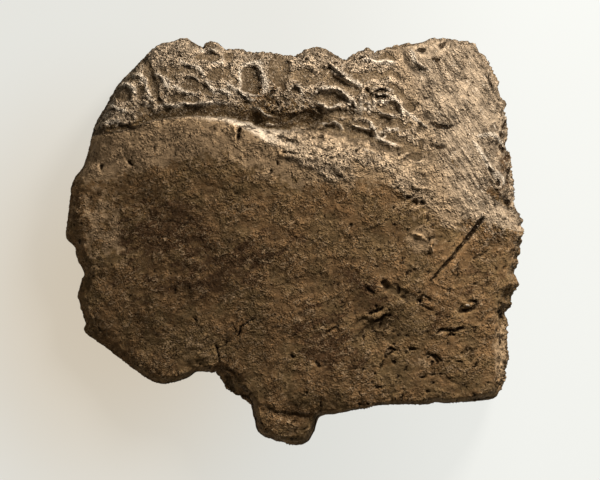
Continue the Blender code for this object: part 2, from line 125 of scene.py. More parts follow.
# Where a kind of surface begins and where it is in full, in millimetres across or up the face
FOLD_ENDS = (-6.0, 30.0)  # the sharp fold of the crest turns into a rounded shoulder
WORN_CREST = (-30, -12)
STREAKS_ACROSS = (44, 62)
STREAKS_UP = (-4, 18)
STREAK_LEAN = 0.35
SHOULDER_EDGE = (-1.5, 1.5)
SHOULDER_FADE = (38, 60)
CRUMBLY = (-20, 5)
DENTED_UNTIL = (30, 42)
SHALLOW_UNTIL = (-32, -12)
PALE_BREAK = (60, 68)
# Near the broken right side, the painted shade there takes away the pale clay.
SHADED_BREAK = (60, 75)
TOP_EDGE = (67, 73)
WALL_FROM = (-48, -24)
LIP_UNTIL = (-14, 8)
DUSTY_CREST = (-22, -4)
DUSTY_UNTIL = (-10, 30)
# Sides turn paler from here to the right: partly the fresh break, partly painted light on the side towards
# the lamp.
PALE_SIDE = (55, 80)

# Clay
BROWN = (0.152, 0.088, 0.040, 1.0)
OLIVE = (0.134, 0.085, 0.039, 1.0)
DARK = (0.080, 0.044, 0.021, 1.0)
FIELD = (0.102, 0.065, 0.031, 1.0)
PALE = (0.310, 0.231, 0.154, 1.0)
# The next colour is the pale of ridge tops and of the crest's lip: partly rubbed, dusty clay, partly a
# painted highlight.
PALE_AND_HIGHLIGHT = (0.64, 0.53, 0.405, 1.0)
DUST = (0.286, 0.192, 0.108, 1.0)
GLINT = (0.48, 0.335, 0.20, 1.0)
BROKEN = (0.210, 0.138, 0.078, 1.0)
OCHRE = (0.330, 0.165, 0.055, 1.0)
# A warm dark for painted shade in the low spots of the grain.
WARM_PAINTED_SHADE = (0.048, 0.027, 0.011, 1.0)
SHADE = (0.018, 0.010, 0.004, 1.0)
RUST = (0.170, 0.088, 0.036, 1.0)
# Noise of the clay: size in millimetres, detail, roughness, distortion, angle and share that draw it out
GRAINS = dict(
    crumb=(1.5, 4, 0.72, 0.5, 20, 0.75), speck=(0.72, 1, 0.7), drawn=(1.5, 3, 0.7, 0.4, 26, 0.42),
    torn=(1.4, 3, 0.7, 0.3, -60, 0.22), flake=(4.2, 5, 0.62, 0.5), left_scale=(2.2, 4, 0.65, 0.6, 18, 0.5),
    right_scale=(2, 4, 0.65, 0.6, -66, 0.5), shard=(2.3, 3, 0.62, 0.8),
    scored=(1.3, 4, 0.7, 0.2, -57, 0.11), scar=(2, 3, 0.65, 0.3, -57, 0.3), pore=(1, 2, 0.6, 0, -57, 0.6),
    busy=(9, 4, 0.6), olive=(13, 4), rust=(6, 5, 0.7, 0, 8, 0.6), stain_and_shade=(4, 5, 0.72, 0, 18, 0.5),
    dust=(4, 6, 0.75), tone=(4.5, 5, 0.7), left_tan=(1, 2, 0.7, 0, 18, 0.5),
    right_tan=(1, 2, 0.7, 0, -66, 0.5), fleck=(1.3, 2, 0.7),
)
# Short lines: size in millimetres, angle and share that draw them out
THREADS = {"crack": (3.2, -16, 0.35), "thread": (2.8, 34, 0.5)}
# Detail, roughness and distortion of the noise that bends them and of the one that breaks them up
THREAD_WAVE = (2, 0.5, 0.8)
THREAD_GATE = (2, 0.6, 0.0)
GATE_SHARE = 0.75
# From which value to which one a noise or a mask turns into a mark, and the mark's first and last value
RAMPS = dict(
    right=(-0.01, 0.03), flake=(0.49, 0.52), scale=(0.53, 0.57), shard=(0.55, 0.60), scar=(0.55, 0.60),
    thread=(0.018, 0.052, 1, 0), gate=(0.46, 0.53), pit=(0.34, 0.44), ridge=(0.28, 0.66),
    field=(0.38, 0.64), busy=(0.42, 0.58, 0.2, 1.1), olive=(0.40, 0.60), rust=(0.54, 0.64, 0, 0.32),
    stain_and_shade=(0.62, 0.74), dust=(0.62, 0.74), proud=(0.15, 0.85, 0.6, 1.5), tone=(0.36, 0.64, 0.82, 1.2),
    ends=(0.45, 1, 1, 1.5), tan=(0.63, 0.67, 0, 0.45), fleck=(0.68, 0.72, 0, 0.6),
    sealed_flecks=(0, 1, 1, 0.3), pore=(0.325, 0.365, 1, 0), glint=(0.60, 0.64),
    sealed_glints=(0, 1, 0.3, 0.75), grain=(0.38, 0.55, 0.6, 1.2), line=(0.39, 0.60, 0.38, 1.42),
    deep=(0.39, 0.43, 0.7, 0), roughness=(0.3, 0.7, 0.86, 0.97), table_right=(-0.02, 0.10),
    table_shade=(0.2, 1.9, 0.9, 0),
)
CLAY_SHINE = 0.05
# How far the crumbs move the edges of the masks
RAGGED_EDGE = 1.4
RAGGED_MASKS = (("pit", 1.3), ("ridge", 0.5), ("field", 0.6))
# Heights of the finest relief in millimetres, and what crumbly and streaked places add to them
CRUMB, CRUMB_ROUGH = 0.3, 1.25
SPECK, SPECK_ROUGH, SPECK_STREAK = 0.7, 2.2, 2.1
FLAKE, SCALE, FLAKE_ROUGH = 0.24, 0.30, 0.16
THREAD, CRACK = 0.36, 0.35
SHARD = 0.25
SCORED, SCAR = 2.0, 0.35
RIDGE, PIT, PORE = 0.30, 0.45, 0.22
# Masks of the front, with their values where it turns under
MASKS = (
    ("proud", 0.5), ("ridge", 0.0), ("field", 0.0), ("pit", 0.0), ("pale", 0.2), ("stain_and_shade", 0.0),
    ("rough", 0.6), ("streak", 0.0), ("lip", 0.0),
)
# Dust and painted light (above 0) and dark stains and painted shade (below 0): x, y, two half-breadths,
# turn, share
# The pale one at x 83, y -46 is painted light on the broken face towards the lamp, and the dark one at x
# 83, y 31 is painted shade in the hollows of the broken right side.
PATCHES = (
    (-78, 8, 15, 30, 5, 0.48), (-4, -72, 13, 10, 0, 0.3), (83, -46, 5, 18, 0, 0.9),
    (20, 27, 24, 8, -10, 0.5), (50, 0, 8, 7, 0, 0.7), (52, 12, 18, 10, 0, 0.4),
    (-38, -42, 16, 10, 0, 0.3), (-62, 34, 26, 8, 10, 0.7), (-54, 4, 30, 16, 8, -0.9),
    (-30, -12, 26, 14, 12, -0.8), (-62, -18, 18, 10, -10, -0.6), (60, -30, 12, 8, 0, -0.4),
    (-10, -2, 18, 10, 20, -0.5), (28, -18, 22, 12, -20, -0.6), (12, -34, 24, 14, 0, -0.6),
    (16, -49, 20, 13, 0, -0.6), (83, 31, 9, 21, 0, -1.2), (73, -14, 13, 15, 0, -0.5),
    (52, -47, 11, 8, 0, 0.35),
)
# Dust on the sealed band: x, share
BAND_DUST = ((-60, 0.8), (-25, 0.6), (-14, 0.1), (8, 0.15), (20, 0.9), (60, 0.9))

# Light, table and camera
KEY = (55, 27, 0.62, 0.15, 8.75, (1.0, 0.96, 0.90))  # azimuth, elevation, distance, size, power, colour
LIT_HEIGHT = 0.02
SKY = 0.13
SKY_COLOUR = (1.0, 0.91, 0.78, 1.0)
FLOOR_SIZE = 3.0
FLOOR_COLOUR = (0.07, 0.07, 0.07, 1.0)
# The table glows with painted light, brighter to the right as if lit from there, and GLOW_SHADE is a
# painted shadow left of the lump.
GLOW_RIGHT = (0.81, 0.82, 0.785, 1.0)
GLOW_LEFT = (0.71, 0.71, 0.67, 1.0)
GLOW_SHADE = (0.60, 0.52, 0.405, 1.0)
SHADE_PLACE = (1.45, 0.40, 0.0)
SHADE_SCALE = (19.0, 16.0, 1.0)
LENS = 600.0
SENSOR = 36.0
CENTRE = (2.0, 0.6)
VIEW_WIDTH = 240.0
VIEW_HEIGHT = 9.0

# Rim of the lump seen from above, anticlockwise from the top left to the left side
RIM = (
    (-84.5, 30), (-88.5, 24), (-90, 15), (-91.2, 5), (-91, 1), (-88, -2), (-87, -6.5), (-84, -12.5),
    (-85, -15.5), (-86.5, -22), (-84, -32), (-84.5, -35.5), (-82, -38.5), (-76, -42), (-70, -47),
    (-60, -54), (-52, -56.7), (-43, -54.5), (-39, -52.2), (-32, -53.3), (-28.5, -56.5), (-28, -58.5),
    (-23, -62.3), (-18, -65.5), (-16.5, -70), (-14, -76.5), (-5, -80.5), (3.5, -81), (7.5, -76),
    (10, -70), (18, -68.8), (27, -67), (36, -65.3), (52, -65), (56, -64), (60, -64.5), (70, -63.8),
    (79, -62.5), (81.5, -60.5), (83.5, -57.5), (85.2, -48), (84.3, -40), (85, -34), (83.8, -28.5),
    (86, -25.5), (87.5, -21), (89.3, -17), (88, -13), (90, -5), (91.6, 3), (90.5, 9), (87.4, 15),
    (87.8, 19), (86.6, 28), (86.5, 32.5), (84.3, 38.5), (84.8, 44), (84.2, 47.5), (84.5, 50),
    (83.3, 56), (80.8, 60.5), (81.3, 63), (79.8, 68.5), (76, 74.3), (72, 78.8), (69, 80), (62, 81),
    (54.5, 81.1), (51, 79.8), (43, 78.8), (37, 77.6), (31.5, 75.8), (28.5, 76.9), (22.5, 74.5),
    (19.8, 72.6), (14, 75.8), (7, 77.8), (1.5, 75), (-4, 74.6), (-10.5, 75.3), (-18, 75.5),
    (-22, 76.7), (-28.3, 77.6), (-31.3, 79.6), (-34.7, 79.5), (-37.3, 77.9), (-40, 79), (-44, 81.2),
    (-50, 79.3), (-55, 77.8), (-57.8, 75.3), (-63.5, 70), (-66.5, 67.5), (-70.5, 62.5), (-75, 55),
    (-77.5, 50), (-80.2, 45), (-82.2, 37),
)

# Side by direction: degrees, share of a full roll, height of the widest line, squareness
SIDE = (
    (0, 0.8, 13, 1.4), (4, 1.1, 13, 1.25), (8, 1.6, 13, 1.2), (15, 1.0, 14, 1.3), (30, 0.7, 13, 1.3),
    (46, 0.6, 12, 1.5), (65, 0.6, 11, 1.5), (80, 0.5, 12, 1.4), (95, 0.5, 12, 1.3),
    (110, 0.5, 11, 1.4), (130, 0.6, 9, 1.7), (153, 0.7, 8, 1.8), (165, 0.9, 8, 2), (180, 0.9, 8, 2),
    (205, 0.9, 7, 2), (225, 0.6, 7, 2), (234, 0.5, 7, 1.9), (240, 0.8, 8, 1.3), (250, 0.8, 7, 1.2),
    (256, 0.6, 6, 1.6), (262, 0.6, 6, 2), (270, 0.6, 6, 2), (276, 0.6, 6, 1.8), (281, 0.5, 8, 2),
    (290, 0.4, 11, 2), (310, 0.4, 13, 2), (321, 0.6, 14, 2), (325, 0.8, 13, 1.4), (329, 1.1, 12, 1.1),
    (338, 1.1, 12, 1.1), (342, 0.7, 12, 1.3), (352, 0.8, 12, 1.6), (357, 0.9, 13, 1.5),
)

# The crest between belly and band, and the breadth of the fall from it
CREST = (
    (-95, 40.5), (-81, 41.5), (-67, 43.7), (-55, 47.6), (-40, 48.8), (-28, 48), (-18, 44.1), (-11, 39.8),
    (-4, 36.6), (4, 34.5), (16, 32), (26, 29.5), (36, 25.5), (50, 17), (60, 12), (80, 8), (95, 3),
)
FALL = (
    (-95, 1.2), (-30, 1.4), (-18, 3.2), (-10, 5.5), (-4, 8.5), (4, 12), (16, 14), (26, 14), (36, 16),
    (50, 19), (60, 22), (80, 9), (95, 5),
)
# The trough at the foot of the crest: x, breadth of the rise out of it, depth
TROUGH = (
    (-95, 3, 0.3), (-66, 3.6, 0.3), (-50, 4.2, 0.3), (-28, 4.8, 0.6), (-18, 6.5, 2.2), (-6, 8, 3),
    (6, 7, 2.7), (12, 6, 1.6), (18, 5, 0.2), (22, 5, 0), (95, 5, 0),
)
# Above this line the clay is crumbly and dusty
SHOULDER = (
    (-95, 44), (-40, 48.5), (-24, 44), (-8, 39), (-3, 33), (6, 30), (16, 26), (24, 28), (34, 27),
    (45, 20), (58, 8), (75, 2), (95, -4),
)

# Heights above the table at spots of the belly and of the band
BELLY = (
    (-80, 38, 20.5), (-60, 40, 27), (-60, 30, 26), (-40, 46, 33), (-40, 34, 31.8), (-25, 47, 36),
    (-25, 34, 34.6), (-10, 40, 38), (0, 34, 39), (15, 30, 39.5), (30, 26, 40), (45, 18, 40),
    (60, 10, 39.5), (75, 12, 37), (88, 4, 33), (-88, 20, 17), (-60, 20, 24), (-40, 20, 29.3),
    (-20, 20, 33.8), (0, 20, 37), (20, 10, 37.5), (-60, -20, 18.5), (-40, -20, 23), (-20, -20, 27.5),
    (0, -20, 31), (20, -20, 33.5), (38, -20, 36), (55, -15, 38.3), (60, -25, 37.3), (80, -20, 35),
    (-88, -5, 14), (-60, -40, 14.5), (-80, -30, 12), (-40, -45, 20), (-25, -48, 22.5), (-10, -50, 25.8),
    (20, -50, 30.5), (40, -50, 33), (60, -50, 34), (80, -50, 33), (0, -63, 26), (20, -63, 29.5),
    (40, -63, 32), (60, -62, 33), (80, -60, 32), (0, -67, 24.6), (-10, -72, 23.4), (0, -78, 22.8),
    (-30, 0, 28.8), (-70, 0, 18.5), (40, 5, 39),
)
BAND = (
    (-90, 30, 14), (-80, 50, 19), (-75, 45, 22.5), (-60, 52, 26.5), (-60, 70, 21), (-40, 50.5, 32),
    (-40, 56, 31.8), (-40, 66, 28.5), (-40, 78, 24), (-22, 50, 33), (-20, 55, 33.2), (-20, 62, 31.5),
    (-20, 74, 27), (-8, 54, 32.8), (3, 54, 32.4), (0, 62, 31.5), (0, 73, 28), (15, 47, 32.5),
    (20, 60, 32.5), (20, 72, 29), (30, 45, 34.5), (40, 40, 36), (40, 60, 32), (40, 75, 27.5),
    (50, 35, 37.5), (50, 20, 39.5), (60, 15, 39), (60, 30, 37), (60, 45, 33), (60, 60, 28), (60, 75, 22),
    (75, 60, 22.5), (75, 45, 27.5), (82, 45, 24.5), (75, 30, 32), (84, 28, 28), (75, 20, 34),
    (84, 12, 31.5), (90, 4, 29),
)

# Raised and sunken strokes: width, height, then x and y of each point along it
STROKES = (
    # first sign, left
    (2.2, 1.1, -69.5, 62.5, -67.5, 62.8, -65.5, 62.3, -64.2, 60.8, -63.8, 59),
    (2, 0.9, -75, 55, -73, 54.8, -71, 53, -69.5, 52.3, -67, 52),
    (2, 0.8, -76.5, 47.2, -74, 47.3, -71.5, 47.8, -69, 48), (2.6, 0.8, -77, 50.5, -74.5, 50.7),
    (2.2, 1, -65, 67, -63.5, 66, -62, 66.5, -61, 65.3, -60.3, 63.8, -59.2, 62.8),
    (1.6, 0.8, -60, 62, -58.8, 59.5, -57.2, 57.5), (1.5, 0.7, -60, 58.3, -58.5, 57, -56.2, 55.5),
    (1.5, 0.7, -60.5, 55.7, -58.5, 54.3, -56.8, 53.5),
    (4.6, -1.3, -60, 73.5, -58.3, 69, -57.2, 65, -56, 61, -55.3, 58.2),
    (1.9, 1, -56, 66.3, -54.3, 66.3, -53, 65, -52.2, 63, -51.3, 61.5, -50.6, 60.3),
    (1.4, 0.8, -51.5, 65.8, -50.5, 63.5, -50, 61.3),
    (1.6, 0.9, -49.8, 61, -48.3, 61.9, -47, 61, -45, 59.6, -42, 58.9, -38.5, 58.3),
    (1.6, 1, -55.5, 53.8, -52.3, 54.6, -50, 54, -47, 54, -44, 54.7, -25, 55),
    (1.5, 0.7, -43.5, 65.3, -41, 65.3, -37.8, 64.3),
    (1.8, 0.9, -46, 73, -44, 71, -42.5, 70, -40, 69.6, -38, 69, -36.7, 66.8, -36.6, 64.8),
    (1.8, 1, -39, 76, -35, 76, -30.5, 76), (1.5, 0.8, -34, 70.8, -31, 71.2, -28.7, 71.2, -28.2, 73.8),
    (1.8, 1.1, -35.5, 64.3, -34.3, 62.5, -33.5, 61, -32, 60, -29.5, 59.7, -27, 59.2, -24.8, 57.8),
    (1.9, 1.1, -28, 62.8, -25.5, 61, -22.3, 60.1, -20, 57.9, -18.5, 56.8, -15.5, 56),
    # square sign
    (2.8, 1.5, -15.5, 70.3, -14, 68.8, -13, 66.5, -12.2, 64.5, -11.7, 62, -12, 60, -13, 59),
    (1.9, 0.9, -21.8, 69.8, -18, 71.1, -15, 71.3, -12.3, 70.8),
    (1.5, 0.8, -22, 69.8, -21.8, 64, -21.3, 60.5), (1.6, 0.7, -20.5, 59.3, -16, 57.9, -13, 58.3),
    # trough ridges
    (1.5, 1.1, -17.5, 53, -15.3, 52.5, -13.5, 51.3, -12, 50.2, -9, 49.5),
    (1.3, 0.9, -12, 46.7, -10, 46.6, -8, 45.7),
    # middle
    (1.5, 0.9, -0.3, 62.8, 1, 61.9, 2.1, 60.3, 2.9, 57.8), (1.4, -0.8, -8, 56.5, -7, 54.5, -5.3, 52),
    (1.4, -0.7, -5, 57.5, -4, 55, -2.5, 53.5),
    # thick ridge, ring
    (2.8, 1.4, 14, 70, 17, 67.5, 19, 65.8, 20.5, 64.5, 22, 63.2, 24, 62.5, 26.8, 61.6),
    (4.4, -1.3, 13, 65, 17, 63.2, 21, 61.3, 24.5, 59.8),
    (2.2, 1.3, 8, 59.5, 10, 60.7, 13, 60.9, 16, 60.4, 18.5, 59.2, 20.5, 57.6, 21.6, 55.5, 22, 53.5),
    (1.8, 1.2, 9, 55.2, 11, 54, 12.5, 53.1, 15, 53, 16.5, 53.7, 18.5, 54.8),
    (2, 0.8, 22.3, 57.5, 24, 54.5, 24.5, 51),
    # ladder
    (1.4, 0.8, 26, 58.2, 26, 50), (1.4, 0.8, 29.3, 56, 29.7, 51), (1.4, 0.7, 31.3, 57, 31.3, 52),
    (1.3, 0.7, 26, 55.4, 29.3, 55.3), (1.3, 0.7, 26, 58.2, 29.3, 58.1), (1.3, 0.7, 26, 52.8, 29.5, 52.7),
    # bars
    (1.3, 0.9, 31.5, 60.4, 36, 60.3, 39.3, 59.7), (1.7, 1, 32.5, 57.9, 37.8, 57.9),
    (1.4, 0.9, 32.3, 55.7, 36, 55.3, 38.2, 55.7),
    (1.9, 1.1, 37.8, 57.7, 40, 55.5, 41.7, 53.5, 42.4, 51.5, 42.2, 49.2),
    (1.6, 0.9, 32.8, 51.8, 35.5, 50.3, 38, 49.8, 40.3, 50.2), (1.6, 0.8, 35.5, 44.4, 39, 44.4, 42, 44.8),
    (1.6, 1.2, 27.8, 48.7, 29.5, 47.5, 30.5, 45.5, 31.5, 43.5, 33, 41.3, 34.5, 40.3, 37, 39.3, 41.8, 37.9),
    (1.2, 0.7, 32.5, 43.6, 34, 43.4, 35.9, 42.8, 35.9, 41.7, 33.7, 41.2),
    (1.5, 0.8, 22, 46.3, 24, 45.5, 26.5, 45, 28.5, 44.3, 30.7, 44.2),
    (2.4, 0.9, 19, 36.2, 24, 36.6, 28, 36.1, 34, 33.4, 38.5, 31.8),
    (1.5, 0.9, 9.5, 47, 13, 46.5, 16, 47.5, 18.5, 46, 19.6, 43.8),
    (2.2, 0.9, 27, 73.2, 33, 71.4, 40.5, 71.4), (1.8, 0.8, 24, 75, 28, 72.4, 31, 71.8),
    # curved ridge top right
    (1.9, 1.3, 46.3, 76.5, 47.3, 73.5, 48.5, 71.5, 50.5, 69.3, 53.5, 67.6),
    (4.2, -1.5, 43.7, 76, 45, 72, 46.5, 69.5, 49, 67.6, 51.5, 67),
    (3.4, -1.2, 38, 62.5, 40.5, 59.5, 43, 57, 46, 54.8),
    (1.6, 0.9, 41.8, 54, 44.5, 51, 47, 49.5, 50, 47, 53.5, 44.3),
    (1.6, -0.9, 50.3, 58.7, 51.3, 57, 53, 56.9, 55, 57.3), (1.2, -0.9, 55, 56, 57.8, 53),
    (1.2, -0.9, 57.5, 51, 60, 49), (1.1, -0.9, 49, 39, 50, 36), (2.4, -1.7, 53.5, 47, 57, 45.9, 62, 45.4),
    (2.2, -1.8, 53.8, 38.5, 57, 37.3, 59.3, 37.5), (1.4, 0.8, 42.3, 31.6, 47, 31.1, 51.5, 31.6),
    (1, -0.7, 66, 64.7, 71, 65.2), (1, -0.7, 77, 67, 78, 62),
    (1.8, 1.2, 70.5, 40.5, 73, 37, 75, 33.5, 77.3, 29.5, 79.5, 27, 81.3, 24.5, 81.8, 21.5),
    (1.6, 1, 72, 41.6, 78, 43, 80, 42.3, 82, 39.5, 84, 37.3),
    (1.4, 0.9, 79.8, 28.5, 82, 27, 83.3, 25, 83.5, 21.5),
    (1.6, 0.5, 43, 25.2, 46, 22.5, 48.5, 21, 52, 20.7, 56.5, 20.6),
    # belly
    (1.3, 0.8, -24.6, 46, -23.7, 43.5, -24, 40), (1.9, -2.6, -21.6, 45, -22.3, 42.5, -22.5, 40.3),
    (1.9, -2, -6.8, 42, -5, 41.1, -2.8, 40.5, -0.3, 39.9, 1.8, 39.2),
    (0.8, -0.7, -14.5, 41.2, -11.5, 39.4, -9, 38.9, -6.2, 38.6), (0.8, -0.8, -12, 38.7, -11.8, 36.4),
    (1, -1.1, -5, 37.6, -3.6, 36.2, -1.5, 35.2, 1, 34.6),
    (1, 0.7, -8.5, 38, -6.5, 36.5, -6, 34.2, -3.5, 33.2, 0, 33.6, 3.5, 31.6),
    (1.1, -1, 2.5, 44.6, 6, 45.1, 9.5, 44.4, 13, 44.9), (0.9, -0.8, 5, 41.5, 8.5, 40.8, 12, 41.3),
    (0.9, -0.8, 9, 37.3, 12.5, 36.3, 15, 36.5), (0.9, -0.7, 16, 33.5, 19.5, 32.6),
    (1.1, -1.4, -66.5, 32, -65, 30), (1.2, -0.8, -56, 38, -56, 35.5),
    (1, 0.4, 15, 17.5, 16.5, 13, 19, 11.5, 24, 11), (1, 0.4, -21, 29, -18, 26),
    (2.6, -3.2, 74.8, 9, 72.4, 7, 68, 0.8), (1.9, -2.8, 68, 0.8, 62, -6.6, 58, -11),
    (1.2, -1.6, 58, -11, 53.5, -16), (1, -0.7, 72.5, -6, 77, -3), (0.9, 0.6, 53, 5, 53.8, 0, 54, -4),
    (1.4, 0.8, 46, 3, 50, 2, 54, -1, 54.5, -4), (1.3, -1.4, 52.8, 1.2, 53.3, -0.5),
    (1, -0.8, 9.5, -38, 11, -37.3, 14, -35.3, 17.7, -33), (0.9, -0.5, 21.5, -33.5, 24.5, -32, 28, -30),
    (1.3, -1.6, 29.5, -28.5, 31.5, -27.6, 33.7, -27.3, 34.8, -26), (1, -0.7, 7, -31, 7.6, -34, 8.7, -36.5),
    (0.9, -0.6, 20.2, -24, 18.2, -27), (0.9, -0.6, 12.3, -30.5, 11, -34), (1, -0.9, -40.5, -30, -39, -32),
    (1.1, -0.9, -15.8, -30.5, -18.5, -32, -21.7, -34), (1.2, -1.1, -21.7, -34, -22, -36, -23, -37.8),
    (0.9, -0.6, -26, -39.5, -28, -41.5, -31, -42.5),
    (1, -1, -32, -40.5, -31.2, -42.5, -30.5, -45, -30.4, -48), (1, -0.7, -34, -49.5, -34.5, -51.5),
    (0.9, -0.7, 15, -6, 16, -9), (0.9, -0.7, 17.5, -9, 20, -5.5, 21, -6.5),
    (0.9, 0.5, 14.2, -9.5, 13.3, -14.5), (1.3, -1.2, 28.6, -18.2, 29.5, -19.7, 31.3, -20.7),
    (1.1, -1.2, 50, -21, 52.5, -22, 53.6, -23.6), (1.1, -1.2, 49.2, -24.8, 52, -26, 55, -27.3),
    (1.7, -1.9, 68.8, -23.7, 71.7, -24, 71.8, -25.5, 69.5, -27.3, 65.5, -27.8, 66, -25.3),
    (1.2, 0.9, 67.5, -25.3, 69.5, -25.5),
    (1.9, -1.8, 56.5, -36.4, 57.5, -35.5, 61, -35.3, 63.5, -35, 66.3, -34.5),
    (1.5, -1.5, 60.3, -37.8, 61.5, -36.8, 63, -36.8),
    (1.3, -1.5, 35.8, -46, 36.2, -44.5, 38, -42.2, 39.8, -43, 36.8, -45),
    (0.9, 0.5, 35.8, -42, 35, -44.5, 33.8, -49), (1.2, -0.9, 35.3, -47, 33.5, -50),
    (1.5, -1.4, 45.7, -42.9, 47.6, -42.6), (1.2, -1.3, 53.3, -45.2, 55.3, -46.5, 56.4, -48.5),
    (1.2, -1.3, 55.3, -45.2, 57.8, -47.4), (1.1, -1.1, 49.3, -53.7, 51, -53.9, 52.3, -53.2),
    (0.8, -0.5, 42, -57.3, 44.5, -60.5, 46.7, -64), (0.8, -0.5, 52.9, -58.8, 52.2, -62.3),
    (0.9, -0.5, -12.5, -9, -13.5, -12), (0.8, -0.4, -56, -25, -53, -21.5, -50, -18),
    (0.8, -0.6, -3, -75.5, -2.5, -72.8, -1.2, -72.8, 0, -75.5, 1, -77.5),
    (0.8, -0.5, -14.3, -72.3, -12.8, -70),
)

# Small cliffs: reach of the fall, drop, then x and y of each point. The ground on the right is the lower.
LIPS = (
    (3, 1, -70, 46.8, -68, 45.6, -65, 45.4, -62.5, 46, -60, 47.5),
    (2.2, 0.8, -9.5, 60.3, -7, 61.5, -5, 63.2, -2.5, 63.8, 0, 64.5, 6, 64.6),
    (2.6, 1.2, 6, 64.7, 7.5, 65.3, 9, 66.8, 10.5, 68, 12.5, 68.4, 14.3, 70.4),
    (6, 0.25, 33, -18.5, 35, -16, 37.5, -17, 40, -18.6, 43, -18.4, 46, -19, 49.5, -22.3, 50, -25),
    (9, 0.35, 21, -34, 24, -32, 28, -30, 31.5, -30.3, 35, -30.5, 37.8, -29.5),
    (5, 0.7, 22.7, -40, 24, -37, 26.5, -35, 29, -33),
    (4.5, 0.6, -16.5, -63.5, -9, -66.3, 0, -67.8, 9, -69.6),
    (3, 0.9, -30.5, -49.2, -28, -50.2, -25, -50.8, -23.5, -52.5, -22.8, -55),
    (3.5, 1.2, -21, -57.5, -19.5, -57, -18.5, -59.5, -16.5, -62.5),
    (3, 0.8, 67, 21.5, 68, 17.5, 72, 17, 75, 15.5, 77, 12), (2, 0.8, 72, 24, 75, 21, 79, 20.5, 83, 20),
)

